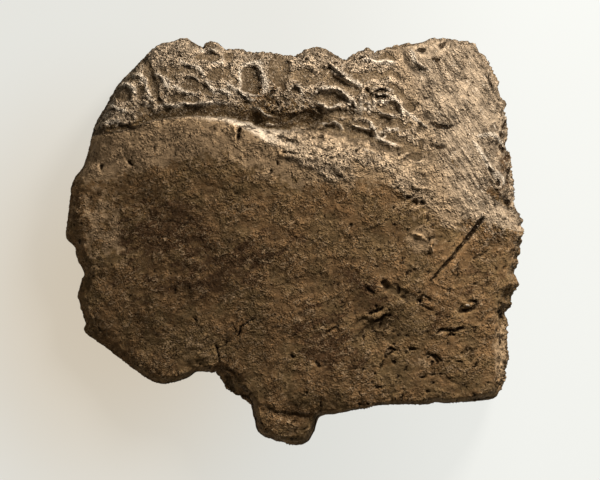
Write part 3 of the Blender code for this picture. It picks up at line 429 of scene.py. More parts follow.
# Hollows and bumps: depth, x, y, two half-breadths, turn in degrees, flatness of the floor
HOLLOWS = (
    (1.6, -68.4, 58.4, 4.2, 3.6, 45, 3), (-0.7, -67.6, 59.3, 1.5, 1.3, 0, 2),
    (1, -60.5, 72.3, 4, 2.8, 30, 3), (0.9, -54.2, 56, 1.6, 1.5, 0, 2.5), (0.6, -43.5, 57, 7.5, 2.3, -3, 4),
    (0.4, -38, 52.2, 17, 2.6, 2, 4), (0.9, -40, 62, 5.5, 2.6, -10, 3), (2, -33.8, 78, 4.2, 1.4, -5, 3),
    (1.1, -34.6, 73.4, 6.2, 2.2, 0, 4), (1, -25.8, 74, 3.2, 1.8, -45, 3), (1, -32, 66.5, 4, 3, 20, 3),
    (1.5, -17.2, 64.2, 5.2, 6.5, 0, 4), (-0.7, -15.4, 62.8, 2.2, 1.2, -40, 2),
    (2.6, -6.3, 68.3, 5, 8.3, -8, 3), (0.9, 1.5, 66.8, 8, 2.6, 3, 3), (2, -9.5, 59, 1.3, 1, 0, 2),
    (1.1, 0.1, 60, 1.9, 1.8, 0, 3), (1.3, 3.5, 49, 8, 3.2, 4, 3), (1.6, 14.7, 57.2, 5.2, 3.5, -8, 4),
    (1.3, 15.9, 51.6, 3.2, 1.7, 0, 3), (1.1, 9.8, 52.4, 1.8, 1.8, 0, 3), (1.4, 13.8, 44.4, 2.7, 1.7, 0, 3),
    (2.6, 28, 60, 1.4, 1.3, 0, 3), (1.8, 29.8, 57.7, 1.6, 0.8, -60, 3), (1.2, 34.5, 59.2, 3, 0.8, 0, 3),
    (1, 34.5, 56.7, 2, 0.7, 0, 3), (1.5, 36.8, 52.8, 4, 2.3, -5, 4), (1.4, 35.6, 47, 4.2, 2.8, -8, 4),
    (0.9, 27.8, 42.4, 4, 1.6, 0, 3), (1.1, 35.3, 37.2, 3.6, 1.4, -15, 3),
    (0.5, 34.3, 42.3, 1.3, 0.7, 0, 3), (1, 36.6, 73.3, 4.4, 2.1, 0, 4), (1.1, 31.5, 66, 5.2, 1.7, 0, 3),
    (1.6, 55.8, 71.8, 2.4, 1, -8, 3), (1.4, 51, 75.6, 2.5, 1, 0, 3), (2.2, 59, 78.6, 1.6, 1.1, -30, 3),
    (1.1, 45.5, 53, 3, 1.6, -20, 3), (-0.8, 52.5, 59.3, 2.2, 1.4, 0, 2), (1.3, 53.5, 50, 3.2, 2, -20, 3),
    (1.2, 47, 33, 4.6, 1.7, 0, 3), (2.2, 77.5, 36.5, 4.8, 5.4, -30, 3), (2, 82.5, 50, 1.5, 2.5, 0, 3),
    (2, 82.4, 43.5, 1.3, 1.2, 0, 3), (2.4, 84.8, 25, 1.7, 3.4, 0, 3), (1.8, 84, 34.5, 2.2, 3.2, 0, 3),
    (1.6, 79.8, 45.5, 2.8, 1.8, 35, 3), (1.6, 83.5, 16.5, 2.6, 1.5, -20, 3),
    (1.8, 82.6, 37, 1.2, 2.6, 20, 2), (1.8, 85.2, 26.5, 1, 3.2, 0, 2), (1.6, 81.2, 24, 1.1, 2, -30, 2),
    (1.6, 83.6, 47, 1, 2.2, 10, 2), (1.6, 84.6, 15.5, 1, 2.4, 0, 2), (1.4, 50, 25.5, 5.2, 2.6, -40, 3),
    (1.2, 74.5, 13.2, 2.6, 2.2, -30, 3), (1.2, 75.5, 23.5, 4.5, 1.6, -20, 3),
    (2.4, 48, 15.2, 1.5, 1.7, 0, 3), (1.6, 50.8, 14.7, 1.5, 1, -20, 2),
    (1.8, 46.2, 18.4, 1.5, 0.7, -35, 2), (1.4, -7.6, 30.8, 0.6, 1, 0, 2), (1.4, -9.2, 28, 0.6, 0.6, 0, 2),
    (1.5, -4, 36, 1, 0.7, 0, 2), (0.9, -32, 45, 1.5, 1.5, 0, 3), (-0.6, -32, 45, 0.8, 0.8, 0, 2),
    (0.4, -34, 41.3, 5, 1.4, 0, 3), (1.5, -77, 30, 1.2, 0.8, 20, 2), (1.2, -86.5, -0.5, 1, 1.4, 0, 2),
    (1.2, 22, 6, 1.1, 0.8, 0, 2), (2.2, 35.3, -18, 2.2, 1.8, -20, 3), (2.2, 49.4, -23, 1, 2, 0, 3),
    (0.5, 42.4, -20.4, 7, 2.6, -20, 5), (0.9, 34, -30.6, 2.8, 0.9, 8, 2.5),
    (1.2, 34.3, -33, 0.5, 1.8, 0, 2), (0.7, 36.6, -30.4, 1.6, 0.9, 20, 3),
    (0.9, 33, -36.5, 9.5, 6.5, 0, 3), (0.5, 32, -33, 4.5, 3, 10, 5), (-0.8, 38, -36, 3, 2.2, -30, 2),
    (1, 61.3, -40.8, 0.6, 0.5, 0, 2), (1.2, 60.7, -29.3, 1.1, 0.6, 0, 2),
    (1.4, 32.1, -52.3, 0.8, 0.9, 0, 2), (1.4, 31, -56.2, 0.9, 0.6, -20, 2),
    (0.9, 23.7, -49.9, 0.7, 0.6, 0, 2), (1, 27.5, -50.2, 1.5, 0.7, -5, 2),
    (1.2, -1.2, -45.3, 0.6, 0.8, 0, 2), (0.9, 8.5, -49, 0.9, 1.4, 30, 2), (0.7, 4, -61, 0.8, 0.8, 0, 2),
    (1.1, 72.3, -48.7, 0.7, 1.1, -30, 2), (1, 73.7, -50.8, 0.9, 0.6, 40, 2), (1, 74.3, -23, 0.6, 1, 0, 2),
    (1, 77.5, -31, 2.3, 2.2, 0, 3), (1.2, 81, -29, 1.3, 1.2, 0, 3), (1.4, 79.8, -35.3, 0.8, 1, 0, 3),
    (1.3, 83.5, 9, 1, 0.6, -40, 2), (2.2, -25.5, -57.5, 3.4, 1.6, -38, 3),
    (2.8, -21.5, -61.7, 2.8, 1.3, -28, 3), (1.4, -27, -54.5, 2, 1.5, -40, 3),
    (1, -1.8, -78, 0.9, 0.6, 40, 2), (1, 0.5, -71.7, 0.8, 0.6, 0, 2), (1, 4.2, -74.3, 1.4, 0.8, 45, 2),
    (1.2, 69, -45, 2.5, 4, 10, 3),
)


# Shapes


def soft(value, low, high):
    """0 below low, 1 above high and a smooth rise between."""
    t = np.clip((value - low) / (high - low), 0, 1)
    return t * t * (3 - 2 * t)


def line_at(x, table, column=1):
    """A column of a table at these x."""
    columns = np.transpose(table)
    return np.interp(x, columns[0], columns[column])


def closed_curve(points, steps):
    here = np.array(points, float)
    before, after, beyond = (np.roll(here, shift, axis=0) for shift in (1, -1, -2))
    t = (np.arange(steps) / steps)[:, None, None]
    curve = 0.5 * (
        2 * here
        + (after - before) * t
        + (2 * before - 5 * here + 4 * after - beyond) * t**2
        + (3 * here - before - 3 * after + beyond) * t**3
    )
    return curve.transpose(1, 0, 2).reshape(-1, 2)


def smooth_sheet(spots):
    """The height function of a thin plate bent through the spots."""
    spots = np.array(spots, float)
    reach = np.abs(spots[:, :2]).max()
    centres = spots[:, :2] / reach
    count = len(spots)

    def bend(places):
        square = ((places[:, None] - centres[None]) ** 2).sum(axis=2)
        return square * np.log(square + 1e-12)

    system = np.zeros((count + 3, count + 3))
    system[:count, :count] = bend(centres)
    system[:count, count] = 1
    system[:count, count + 1:] = centres
    system[count:, :count] = system[:count, count:].T
    weights = np.linalg.solve(system, np.append(spots[:, 2], (0, 0, 0)))

    def height(x, y):
        result = np.empty(len(x))
        for start in range(0, len(x), 10 * BATCH):
            some = slice(start, start + 10 * BATCH)
            places = np.stack((x[some], y[some]), axis=1) / reach
            result[some] = bend(places) @ weights[:count] + weights[count] + places @ weights[count + 1:]
        return result

    return height


def noise(places, size, seed):
    """Smooth noise from -1 to 1, on a lattice of random values this many millimetres apart."""
    side = 32
    count = places.shape[1]
    values = np.random.default_rng(seed).uniform(-1, 1, (side,) * 3)
    scaled = places / size + side * side
    cell = np.floor(scaled).astype(int)
    part = scaled - cell
    part = part * part * (3 - 2 * part)
    total = np.zeros(len(places))
    for corner in np.ndindex(*(2,) * count):
        weight = np.where(corner, part, 1 - part).prod(axis=1)
        spot = ((cell + corner) % side).T
        total += weight * values[tuple(spot) if count == 3 else (*spot, 0)]
    return total


def layered_noise(places, size, layers, seed, fade=0.5):
    return sum(noise(places, size / 2**k, seed + k) * fade**k for k in range(layers))


def turned(x, y, degrees, along, across):
    """Places on the face in units of along and across, the first at this angle."""
    cosine, sine = math.cos(math.radians(degrees)), math.sin(math.radians(degrees))
    return np.stack(((x * cosine + y * sine) / along, (y * cosine - x * sine) / across), axis=1)


def drawn_noise(x, y, size, layers, seed, fade=0.5, degrees=0, across=None):
    return layered_noise(turned(x, y, degrees, size, across or size), 1, layers, seed, fade)


def front_noise(x, y, name):
    return drawn_noise(x, y, *FRONT_NOISES[name])


def near_route(x, y, route, reach):
    """Points within reach of a route: their indices, distance, side (left is 1) and place along it."""
    route = np.array(route, float).reshape(-1, 2)
    low, high = route.min(axis=0) - reach, route.max(axis=0) + reach
    here = np.flatnonzero((x > low[0]) & (x < high[0]) & (y > low[1]) & (y < high[1]))
    lengths = np.hypot(*np.diff(route, axis=0).T)
    starts = np.append(0, np.cumsum(lengths))
    distance = np.full(len(here), np.inf)
    side = np.ones(len(here))
    place = np.zeros(len(here))
    for start, length, first, last in zip(starts, lengths, route[:-1], route[1:]):
        along = (last - first) / length
        dx, dy = x[here] - first[0], y[here] - first[1]
        t = np.clip(dx * along[0] + dy * along[1], 0, length)
        away = np.hypot(dx - t * along[0], dy - t * along[1])
        closer = away < distance
        distance = np.where(closer, away, distance)
        side = np.where(closer, np.sign(along[0] * dy - along[1] * dx), side)
        place = np.where(closer, (start + t) / starts[-1], place)
    return here, distance, side, place


def stroke_height(x, y, width, route):
    here, distance, _, place = near_route(x, y, route, width / 2)
    ends = 0.55 + 0.45 * soft(np.minimum(place, 1 - place), 0, 0.2)
    return here, np.clip(1 - (2 * distance / width) ** 2, 0, 1) ** 1.5 * ends


def cliff_depth(x, y, reach, route):
    here, distance, side, place = near_route(x, y, route, reach)
    edge = np.clip(0.5 - side * distance / 0.5, 0, 1)
    ends = np.clip(4 * np.minimum(place, 1 - place) + 0.15, 0, 1)
    return here, edge * ends * np.clip(1 - distance / reach, 0, 1) ** 1.5


def hollow_depth(x, y, x0, y0, half_x, half_y, turn, flatness):
    away = np.hypot(*turned(x - x0, y - y0, turn, half_x, half_y).T)
    return soft(1 - away**flatness, 0, 1)


def blurred(image, radius):
    """A Gaussian blur of an image, radius in cells."""
    reach = int(3 * radius) + 1
    weights = np.exp(-0.5 * (np.arange(-reach, reach + 1) / radius) ** 2)
    weights /= weights.sum()
    for axis in (0, 1):
        wide = np.pad(image, [(reach, reach) if k == axis else (0, 0) for k in (0, 1)], mode="edge")
        image = sum(
            w * np.take(wide, range(k, k + image.shape[axis]), axis=axis) for k, w in enumerate(weights)
        )
    return image


class FaceMap:
    """Height and clay masks of the front on a regular grid of spots, as images."""

    def __init__(self):
        xs, ys = (np.arange(-half, half + MAP_STEP / 2, MAP_STEP) for half in MAP_HALF)
        x, y = (part.ravel() for part in np.meshgrid(xs, ys))
        self.shape = (len(ys), len(xs))
        images = make_face(x, y, self.shape)
        self.images = {name: image.reshape(self.shape) for name, image in images.items()}

    def at(self, name, x, y):
        """The image's value at these places, between its spots."""
        image = self.images[name]
        u = np.clip((x + MAP_HALF[0]) / MAP_STEP, 0, self.shape[1] - 1.001)
        v = np.clip((y + MAP_HALF[1]) / MAP_STEP, 0, self.shape[0] - 1.001)
        i, j = u.astype(int), v.astype(int)
        u, v = u - i, v - j
        low = image[j, i] * (1 - u) + image[j, i + 1] * u
        high = image[j + 1, i] * (1 - u) + image[j + 1, i + 1] * u
        return low * (1 - v) + high * v


def folded(x, y):
    """Belly and band joined by the fold: their height, the way above the crest in millimetres and in
    shares of the fall, and the share of the trough."""
    above = y - line_at(x, CREST)
    above += CREST_WANDER * front_noise(x, y, "crest") * soft(x, *WORN_CREST)
    fall = line_at(x, FALL)
    in_trough = np.clip(1 - (above - fall) / line_at(x, TROUGH), 0, 1)
    belly = smooth_sheet(BELLY)(x, y)
    band = smooth_sheet(BAND)(x, y) - line_at(x, TROUGH, 2) * in_trough
    t = np.clip(above / fall, 0, 1)
    z = belly + (band - belly) * (t + (soft(t, 0, 1) - t) * soft(x, *FOLD_ENDS))
    return z, above, above / fall, in_trough * soft(above / fall, 0.6, 1)


def press_strokes(x, y, z):
    """Presses strokes, small cliffs and hollows into z, and gives the masks that they leave."""
    bent_x, bent_y = front_noise(x, y, "bent_x"), front_noise(x, y, "bent_y")
    wander_x, wander_y = x + WANDER * bent_x, y + WANDER * bent_y
    near_x, near_y = x + STROKE_WANDER * bent_x, y + STROKE_WANDER * bent_y
    vary = np.clip(0.9 + 0.8 * front_noise(x, y, "vary"), 0.15, 1.8)
    field, floor, ridge, pit = (np.zeros(len(x)) for _ in range(4))

    def mark(mask, here, share):
        mask[here] = np.maximum(mask[here], share)

    for width, height, *route in STROKES:
        here, share = stroke_height(near_x, near_y, width, route)
        if height > 0:
            z[here] += RIDGE_SHARE * height * share * vary[here]
            mound, low = stroke_height(near_x, near_y, width * MOUND_WIDTH, route)
            z[mound] += MOUND_SHARE * height * low
            mark(ridge, here, share * min(1, height))
            mark(ridge, mound, 0.5 * low * min(1, height))
        else:
            z[here] += HOLLOW_SHARE * height * share
            if width > PITTED_WIDTH:
                mark(field, here, soft(share, 0.1, 0.6))
            else:
                mark(pit, here, share * min(1, -height / PIT_DEPTH))
    for reach, drop, *route in LIPS:
        here, share = cliff_depth(wander_x, wander_y, reach, route)
        z[here] -= drop * share
    for depth, *form in HOLLOWS:
        share = hollow_depth(wander_x, wander_y, *form)
        z -= HOLLOW_SHARE * depth * share
        if form[-1] > FLAT_FLOOR:
            floor = np.maximum(floor, soft(share, 0.1, 0.5))
        if min(form[2:4]) >= PIT_HALF and depth > 0:
            field = np.maximum(field, soft(share, 0.25, 0.8))
        elif depth > 0:
            pit = np.maximum(pit, share)
    return field, floor, ridge, pit


def make_face(x, y, shape):
    """The images of the front: its height, and the masks that colour the clay."""
    def noisy(name):
        return front_noise(x, y, name)

    def raised(name):
        return FRONT_HEIGHTS[name] * noisy(name)

    z, above, risen, trough = folded(x, y)
    sealed = soft(risen, 0.2, 1.2)
    streaked = soft(x + STREAK_LEAN * (y - 40), *STREAKS_ACROSS)
    streaked *= soft(y + STREAK_LEAN * (x - 60), *STREAKS_UP)
    over = y - line_at(x, SHOULDER) + SHOULDER_WANDER * noisy("shoulder")
    shoulder = soft(over, *SHOULDER_EDGE) * (1 - sealed) * (1 - streaked)
    shoulder *= 1 - 0.5 * soft(x, *SHOULDER_FADE)
    crumbly = soft(x, *CRUMBLY)
    rough = np.maximum(sealed * (1 - streaked), 0.8 * shoulder * crumbly)
    lower = soft(x - 0.3 * y, 10, 55) * (1 - streaked) * (1 - sealed)

    plain = z.copy()
    field, floor, ridge, pit = press_strokes(x, y, z)
    ridge *= 1 - 0.65 * (1 - sealed) * (1 - soft(x, *PALE_BREAK))
    z = plain + (z - plain) * (1 - 0.28 * sealed * (1 - soft(x, *SHALLOW_UNTIL)))
    # The trough takes the darker field colour too: partly smooth brown clay, partly painted shade in the
    # low place.
    field = np.maximum(field, 0.85 * soft(trough, 0.25, 1))
    smooth_field = np.maximum(field * sealed * (1 - 0.7 * streaked), floor)

    z += raised("wave")
    flakes = FRONT_HEIGHTS["flake"] * (1 - 2 * np.abs(noisy("flake")))
    shelf = soft(noisy("shelf"), 0.0, 0.12) + soft(noisy("small_shelf"), 0.15, 0.27)
    crumbs = raised("lump") + raised("crumb") + flakes + FRONT_HEIGHTS["shelf"] * shelf
    z += rough * (1 - 0.9 * smooth_field) * crumbs
    dents = FRONT_HEIGHTS["dent"] * soft(noisy("dent"), 0.35, 0.8)
    z -= shoulder * crumbly * (1 - soft(x, *DENTED_UNTIL)) * dents
    z += streaked * (1 - 0.6 * field) * (raised("grain") + raised("knob"))
    z += (1 - rough) * (1 - streaked) * (raised("wipe") + raised("fleck"))
    z += lower * raised("low_grain")
    pock = soft(noisy("pock"), 0.62, 0.95) * (0.35 + 0.65 * lower)
    z -= FRONT_HEIGHTS["pock"] * pock

    height = blurred(z.reshape(shape), 0.5)
    proud = height - blurred(height, PROUD_REACH / MAP_STEP)
    wide_proud = height - blurred(height, WIDE_REACH / MAP_STEP)
    # Low ground of the band takes the darker field colour: partly smooth brown clay, partly painted shade
    # in the low places.
    low_ground = sealed * (1 - soft((proud + 0.5 * wide_proud).ravel(), -0.08, 0.28))
    low_ground *= 0.9 * (1 - streaked) * (1 - 0.8 * soft(y, *TOP_EDGE))
    smooth_field = np.maximum(smooth_field, low_ground)
    # The crest's wall, which faces the lamp, is made pale: partly pale clay, partly painted light. The pale
    # mask also grows towards the upper right and takes dust on the band and the crest, the shoulder and the
    # patches.
    wall = soft(risen, -0.25, 0.15) * (1 - soft(risen, 0.8, 1.0)) * soft(x, *WALL_FROM)
    pale = wall + 0.72 * soft(y + 0.55 * x, 36, 78) + sealed * (1 - trough) * line_at(x, BAND_DUST)
    pale += soft(above, *DUSTY_CREST) * (1 - sealed) * (1 - soft(x, *DUSTY_UNTIL)) + 0.9 * shoulder
    stain_and_shade = np.zeros(len(x))
    for x0, y0, half_x, half_y, turn, share in PATCHES:
        u, v = turned(x - x0, y - y0, turn, half_x, half_y).T
        patch = share * np.clip(1 - u * u - v * v, 0, 1)
        pale += np.maximum(patch, 0)
        stain_and_shade += np.maximum(-patch, 0)
    return {
        "height": height,
        "proud": np.clip(0.5 + proud / 0.7, 0, 1),
        "field": blurred(smooth_field.reshape(shape), 1.0),
        "ridge": blurred(ridge.reshape(shape), 0.8),
        "pit": np.clip(pit + pock, 0, 1),
        "pale": np.clip(pale - stain_and_shade * soft(x, *SHADED_BREAK), 0, 1),
        "stain_and_shade": np.clip(stain_and_shade, 0, 1),
        "rough": rough,
        "streak": streaked,
        "lip": wall * (1 - soft(x, *LIP_UNTIL)),
    }


def back_height(x, y):
    u = (x - BACK_CENTRE[0]) / BACK_HALF[0]
    v = (y - BACK_CENTRE[1]) / BACK_HALF[1]
    hollow = np.clip(1 - u * u - v * v, 0, 1) ** 2
    away = np.hypot(x - LUG_CENTRE[0], y - LUG_CENTRE[1]) / LUG_REACH
    lug = np.clip(1 - away * away, 0, 1)
    uneven = layered_noise(np.stack((x, y, 0 * x), axis=1), *BACK_SWELLS) * BACK_UNEVEN
    return hollow * BACK_HOLLOW + lug * LUG_LIFT + uneven - BACK_SINK


def side_at(turn, column):
    """A column of the side's table in these directions."""
    columns = np.transpose(SIDE)
    return np.interp(turn, columns[0], columns[column], period=360)


def ragged_rim():
    """The rim with small crumbs out of it where the side is broken."""
    rim = closed_curve(RIM, CURVE_STEPS)
    out = rim / np.hypot(*rim.T)[:, None]
    turn = np.degrees(np.arctan2(out[:, 1], out[:, 0]))
    broken = np.clip((BREAK_SQUARENESS + 0.1 - side_at(turn, 3)) * 4, 0.25, 1)
    lost = 0.35 + layered_noise(rim, *RIM_CRUMBS)
    return rim - out * (RAGGED * broken * np.clip(lost, 0, 1.5))[:, None]


def grid_places(lines):
    """A square grid of points, drawn out to the rim, with rows closer together near the rim."""
    line = np.linspace(-1, 1, lines)
    u, v = (part.ravel() for part in np.meshgrid(line, line))
    ring = np.maximum(np.abs(u), np.abs(v))
    t = np.clip((ring - NEAR_RIM) / (1 - NEAR_RIM), 0, 1)
    crowded = 1 - (1 - RIM_START) * (1 - t) ** CROWDING
    out = np.where(ring < NEAR_RIM, ring * RIM_START / NEAR_RIM, crowded)
    stretch = out / np.where(ring > 0, ring, 1)
    u, v = u * stretch, v * stretch
    rim = ragged_rim()
    half = np.abs(rim).max(axis=0)
    turn = np.degrees(np.arctan2(v * half[1], u * half[0]))
    rim_turn = np.degrees(np.arctan2(rim[:, 1], rim[:, 0]))
    at_rim = np.interp(turn, rim_turn, np.hypot(*rim.T), period=360)
    box = np.maximum(np.abs(u), np.abs(v))
    square = np.hypot(u * half[0], v * half[1]) / np.where(box > 0, box, 1)
    share = np.where(box > 0, at_rim / np.where(square > 0, square, 1), 1)
    pull = 1 + (share - 1) * box
    x, y = u * half[0] * pull, v * half[1] * pull
    from_rim = np.empty(len(x))
    for start in range(0, len(x), BATCH):
        some = slice(start, start + BATCH)
        dx = x[some, None] - rim[None, :, 0]
        dy = y[some, None] - rim[None, :, 1]
        from_rim[some] = np.sqrt((dx * dx + dy * dy).min(axis=1))
    on_rim = ring == 1
    from_rim[on_rim] = 0
    return x, y, from_rim, turn % 360, on_rim


def lump_surface(lines, face):
    """Points and quads of the closed lump, how crumbled and how broken each point is, and its way out."""
    x, y, from_rim, turn, on_rim = grid_places(lines)
    radians = np.radians(turn)
    wall = np.stack((np.cos(radians), np.sin(radians), 0 * turn), axis=1) * WALL_RADIUS
    wave = layered_noise(wall, *SIDE_WAVES)
    roll = side_at(turn, 1) * EDGE_ROLL * (1 + 0.3 * wave)
    widest = side_at(turn, 2) + wave * SIDE_WAVE
    square = side_at(turn, 3)
    inward = np.clip(from_rim / roll, 0, 1)
    front = widest + (face.at("height", x, y) - widest) * (1 - (1 - inward) ** square) ** (1 / square)
    under = np.clip(from_rim / (widest * BACK_ROLL), 0, 1)
    back = widest - (widest - back_height(x, y)) * np.sqrt(1 - (1 - under) ** 2)
    inner = np.flatnonzero(~on_rim)
    points = np.concatenate((np.stack((x, y, front), 1), np.stack((x, y, back), 1)[inner]))
    below = np.arange(len(x))
    below[inner] = len(x) + np.arange(len(inner))
    i, j = (part.ravel() for part in np.meshgrid(np.arange(lines - 1), np.arange(lines - 1)))
    first = j * lines + i
    quads = np.stack((first, first + 1, first + 1 + lines, first + lines), axis=1)
    quads = np.concatenate((quads, below[quads][:, ::-1]))
    broken = np.clip((BREAK_SQUARENESS - square) * 4, LIP_CRUMBLE, 1)
    edge = broken * np.clip(1.3 - from_rim / (1.6 * roll), 0, 1)
    off_widest = np.clip(np.abs(points[:, 2] - np.append(widest, widest[inner])) / 4, 0, 1)
    broken = broken * (1 - soft(from_rim, 2, 7))
    lean = np.clip(from_rim / (1.5 * roll), 0, 1) * math.pi / 2
    lean_back = np.clip(from_rim / (1.5 * widest), 0, 1) * math.pi / 2
    lean = np.append(lean, -lean_back[inner])
    radians, edge, broken = (np.append(part, part[inner]) for part in (radians, edge, broken))
    ways = np.stack((np.cos(radians) * np.cos(lean), np.sin(radians) * np.cos(lean), np.sin(lean)), 1)
    return points, quads, edge * off_widest, broken, ways


def roughened(points, crumble, broken, ways):
    """The points moved outwards: gentle swells, crumbled spots and crumbs in the sides."""
    swell = layered_noise(points, *FACE_SWELLS) * SWELL
    lost = np.abs(layered_noise(points, *CRUMBS)) * CRUMBLE
    fine = np.abs(layered_noise(points, *BREAK_CRUMBS))
    small = GRAIN_HEIGHT * layered_noise(points, *BREAK_GRAINS)
    dents = DENT_HEIGHT * layered_noise(points, *UNDER_DENTS) * (points[:, 2] < UNDER_HEIGHT)
    crumbs = dents - broken * (BREAK_DEPTH * fine - small)
    return points + ways * (swell - lost * crumble + crumbs)[:, None]


def mesh_object(name, points, faces, material):
    mesh = bpy.data.meshes.new(name)
    mesh.from_pydata(points.tolist(), [], faces.tolist())
    mesh.materials.append(material)
    piece = bpy.data.objects.new(name, mesh)
    bpy.context.scene.collection.objects.link(piece)
    return piece


def simplify(piece, triangles):
    """Collapses edges, the flattest first, down to this many triangles."""
    piece.data.calc_loop_triangles()
    fewer = piece.modifiers.new("Fewer faces", "DECIMATE")
    fewer.ratio = triangles / len(piece.data.loop_triangles)
    fewer.use_collapse_triangulate = True
    graph = bpy.context.evaluated_depsgraph_get()
    simple = bpy.data.meshes.new_from_object(piece.evaluated_get(graph))
    piece.modifiers.remove(fewer)
    dense = piece.data
    piece.data = simple
    bpy.data.meshes.remove(dense)
    simple.name = piece.name


def read_points(mesh, name):
    flat = np.empty(len(mesh.vertices) * 3)
    mesh.vertices.foreach_get(name, flat)
    return flat.reshape(-1, 3)


def fit_to_box(mesh, low_corner, high_corner):
    """Presses the resting spots flat and brings the lump into the solid's box."""
    points = read_points(mesh, "co")
    points[:, 2] = np.where(points[:, 2] < REST_SNAP * MM, 0, points[:, 2])
    low, high = points.min(axis=0), points.max(axis=0)
    target_low = np.array(low_corner) + FIT_MARGIN * MM
    target_high = np.array(high_corner) - FIT_MARGIN * MM
    target_low[2] = low_corner[2]
    points = target_low + (points - low) * (target_high - target_low) / (high - low)
    mesh.vertices.foreach_set("co", points.ravel())
    mesh.update()


def store_masks(mesh, face):
    """Puts the masks of the front on the mesh's points, fading out where the surface turns under."""
    x, y, _ = read_points(mesh, "co").T / MM
    up = soft(read_points(mesh, "normal")[:, 2], -0.1, 0.35)
    masks = {name: elsewhere + (face.at(name, x, y) - elsewhere) * up for name, elsewhere in MASKS}
    # Sides take the paler broken colour, more towards the right: partly the fresh break, partly painted
    # light on the side towards the lamp.
    masks["side"] = (1 - up) * (0.4 + 0.6 * soft(x, *PALE_SIDE))
    for name, values in masks.items():
        layer = mesh.attributes.new(name, "FLOAT", "POINT")
        layer.data.foreach_set("value", values.astype(np.float32))


# Clay


class Nodes:
    """The shader nodes of one new material, with short ways to add and join them."""

    def __init__(self, name):
        self.material = bpy.data.materials.new(name)
        self.material.use_nodes = True
        self.tree = self.material.node_tree
        self.shader = self.tree.nodes["Principled BSDF"]
        self.place = self.add("ShaderNodeTexCoord").outputs["Object"]
        self.across = self.add("ShaderNodeSeparateXYZ", {0: self.place}).outputs[0]

    def add(self, kind, inputs=(), **settings):
        made = self.tree.nodes.new(kind)
        for name, value in settings.items():
            setattr(made, name, value)
        self.feed(made, inputs)
        return made

    def feed(self, node, inputs):
        """Joins nodes to these inputs of a node, or sets them to these values."""
        for name, value in dict(inputs).items():
            if isinstance(value, bpy.types.NodeSocket):
                self.tree.links.new(value, node.inputs[name])
            else:
                node.inputs[name].default_value = value

    def mask(self, name):
        return self.add("ShaderNodeAttribute", attribute_name=name).outputs["Fac"]

    def calc(self, operation, a, b):
        return self.add("ShaderNodeMath", {0: a, 1: b}, operation=operation).outputs[0]

    def times(self, a, b):
        return self.calc("MULTIPLY", a, b)

    def most(self, a, b):
        return self.calc("MAXIMUM", a, b)

    def rest(self, value, share=1.0):
        """What a share of the value leaves of 1."""
        return self.calc("SUBTRACT", 1.0, self.times(value, share))

    def added(self, *parts):
        """The sum of values, each times its weight."""
        total = 0.0
        for value, weight in parts:
            inputs = {0: value, 1: weight, 2: total}
            total = self.add("ShaderNodeMath", inputs, operation="MULTIPLY_ADD").outputs[0]
        return total

    def ramp(self, name, value):
        low, high, start, end = (*RAMPS[name], 0.0, 1.0)[:4]
        inputs = {"Value": value, "From Min": low, "From Max": high, "To Min": start, "To Max": end}
        return self.add("ShaderNodeMapRange", inputs, interpolation_type="SMOOTHSTEP").outputs[0]

    def mixed(self, factor, a, b, blend="MIX"):
        inputs = {0: factor, 6: a, 7: b}
        return self.add("ShaderNodeMix", inputs, data_type="RGBA", blend_type=blend).outputs[2]

    def mixed_value(self, factor, a, b):
        return self.add("ShaderNodeMix", {0: factor, 2: a, 3: b}).outputs[0]

    def brighter(self, colour, value):
        grey = self.add("ShaderNodeCombineColor", {0: value, 1: value, 2: value}).outputs[0]
        return self.mixed(1.0, colour, grey, "MULTIPLY")

    def noise(self, vector, size, detail=3.0, roughness=0.6, distortion=0.0, degrees=0, share=1):
        """Noise whose largest lumps are this many millimetres apart, drawn out at an angle."""
        if share < 1:
            turn = {"Vector": vector, "Rotation": (0, 0, math.radians(degrees)), "Scale": (1 / share, 1, 1)}
            vector = self.add("ShaderNodeMapping", turn, vector_type="TEXTURE").outputs[0]
        inputs = {
            "Vector": vector, "Scale": 1 / (size * MM), "Detail": detail,
            "Roughness": roughness, "Distortion": distortion,
        }
        return self.add("ShaderNodeTexNoise", inputs).outputs["Fac"]

    def grain(self, name):
        return self.noise(self.place, *GRAINS[name])

    def spots(self, name):
        return self.ramp(name, self.grain(name))

    def threads(self, name):
        """Short thin curved lines, broken pieces of the contours of a noise."""
        size, *drawn_out = THREADS[name]
        wave = self.noise(self.place, size, *THREAD_WAVE, *drawn_out)
        off = self.calc("ABSOLUTE", self.calc("SUBTRACT", wave, 0.5), 0)
        gate = self.noise(self.place, GATE_SHARE * size, *THREAD_GATE, *drawn_out)
        return self.times(self.ramp("thread", off), self.ramp("gate", gate))


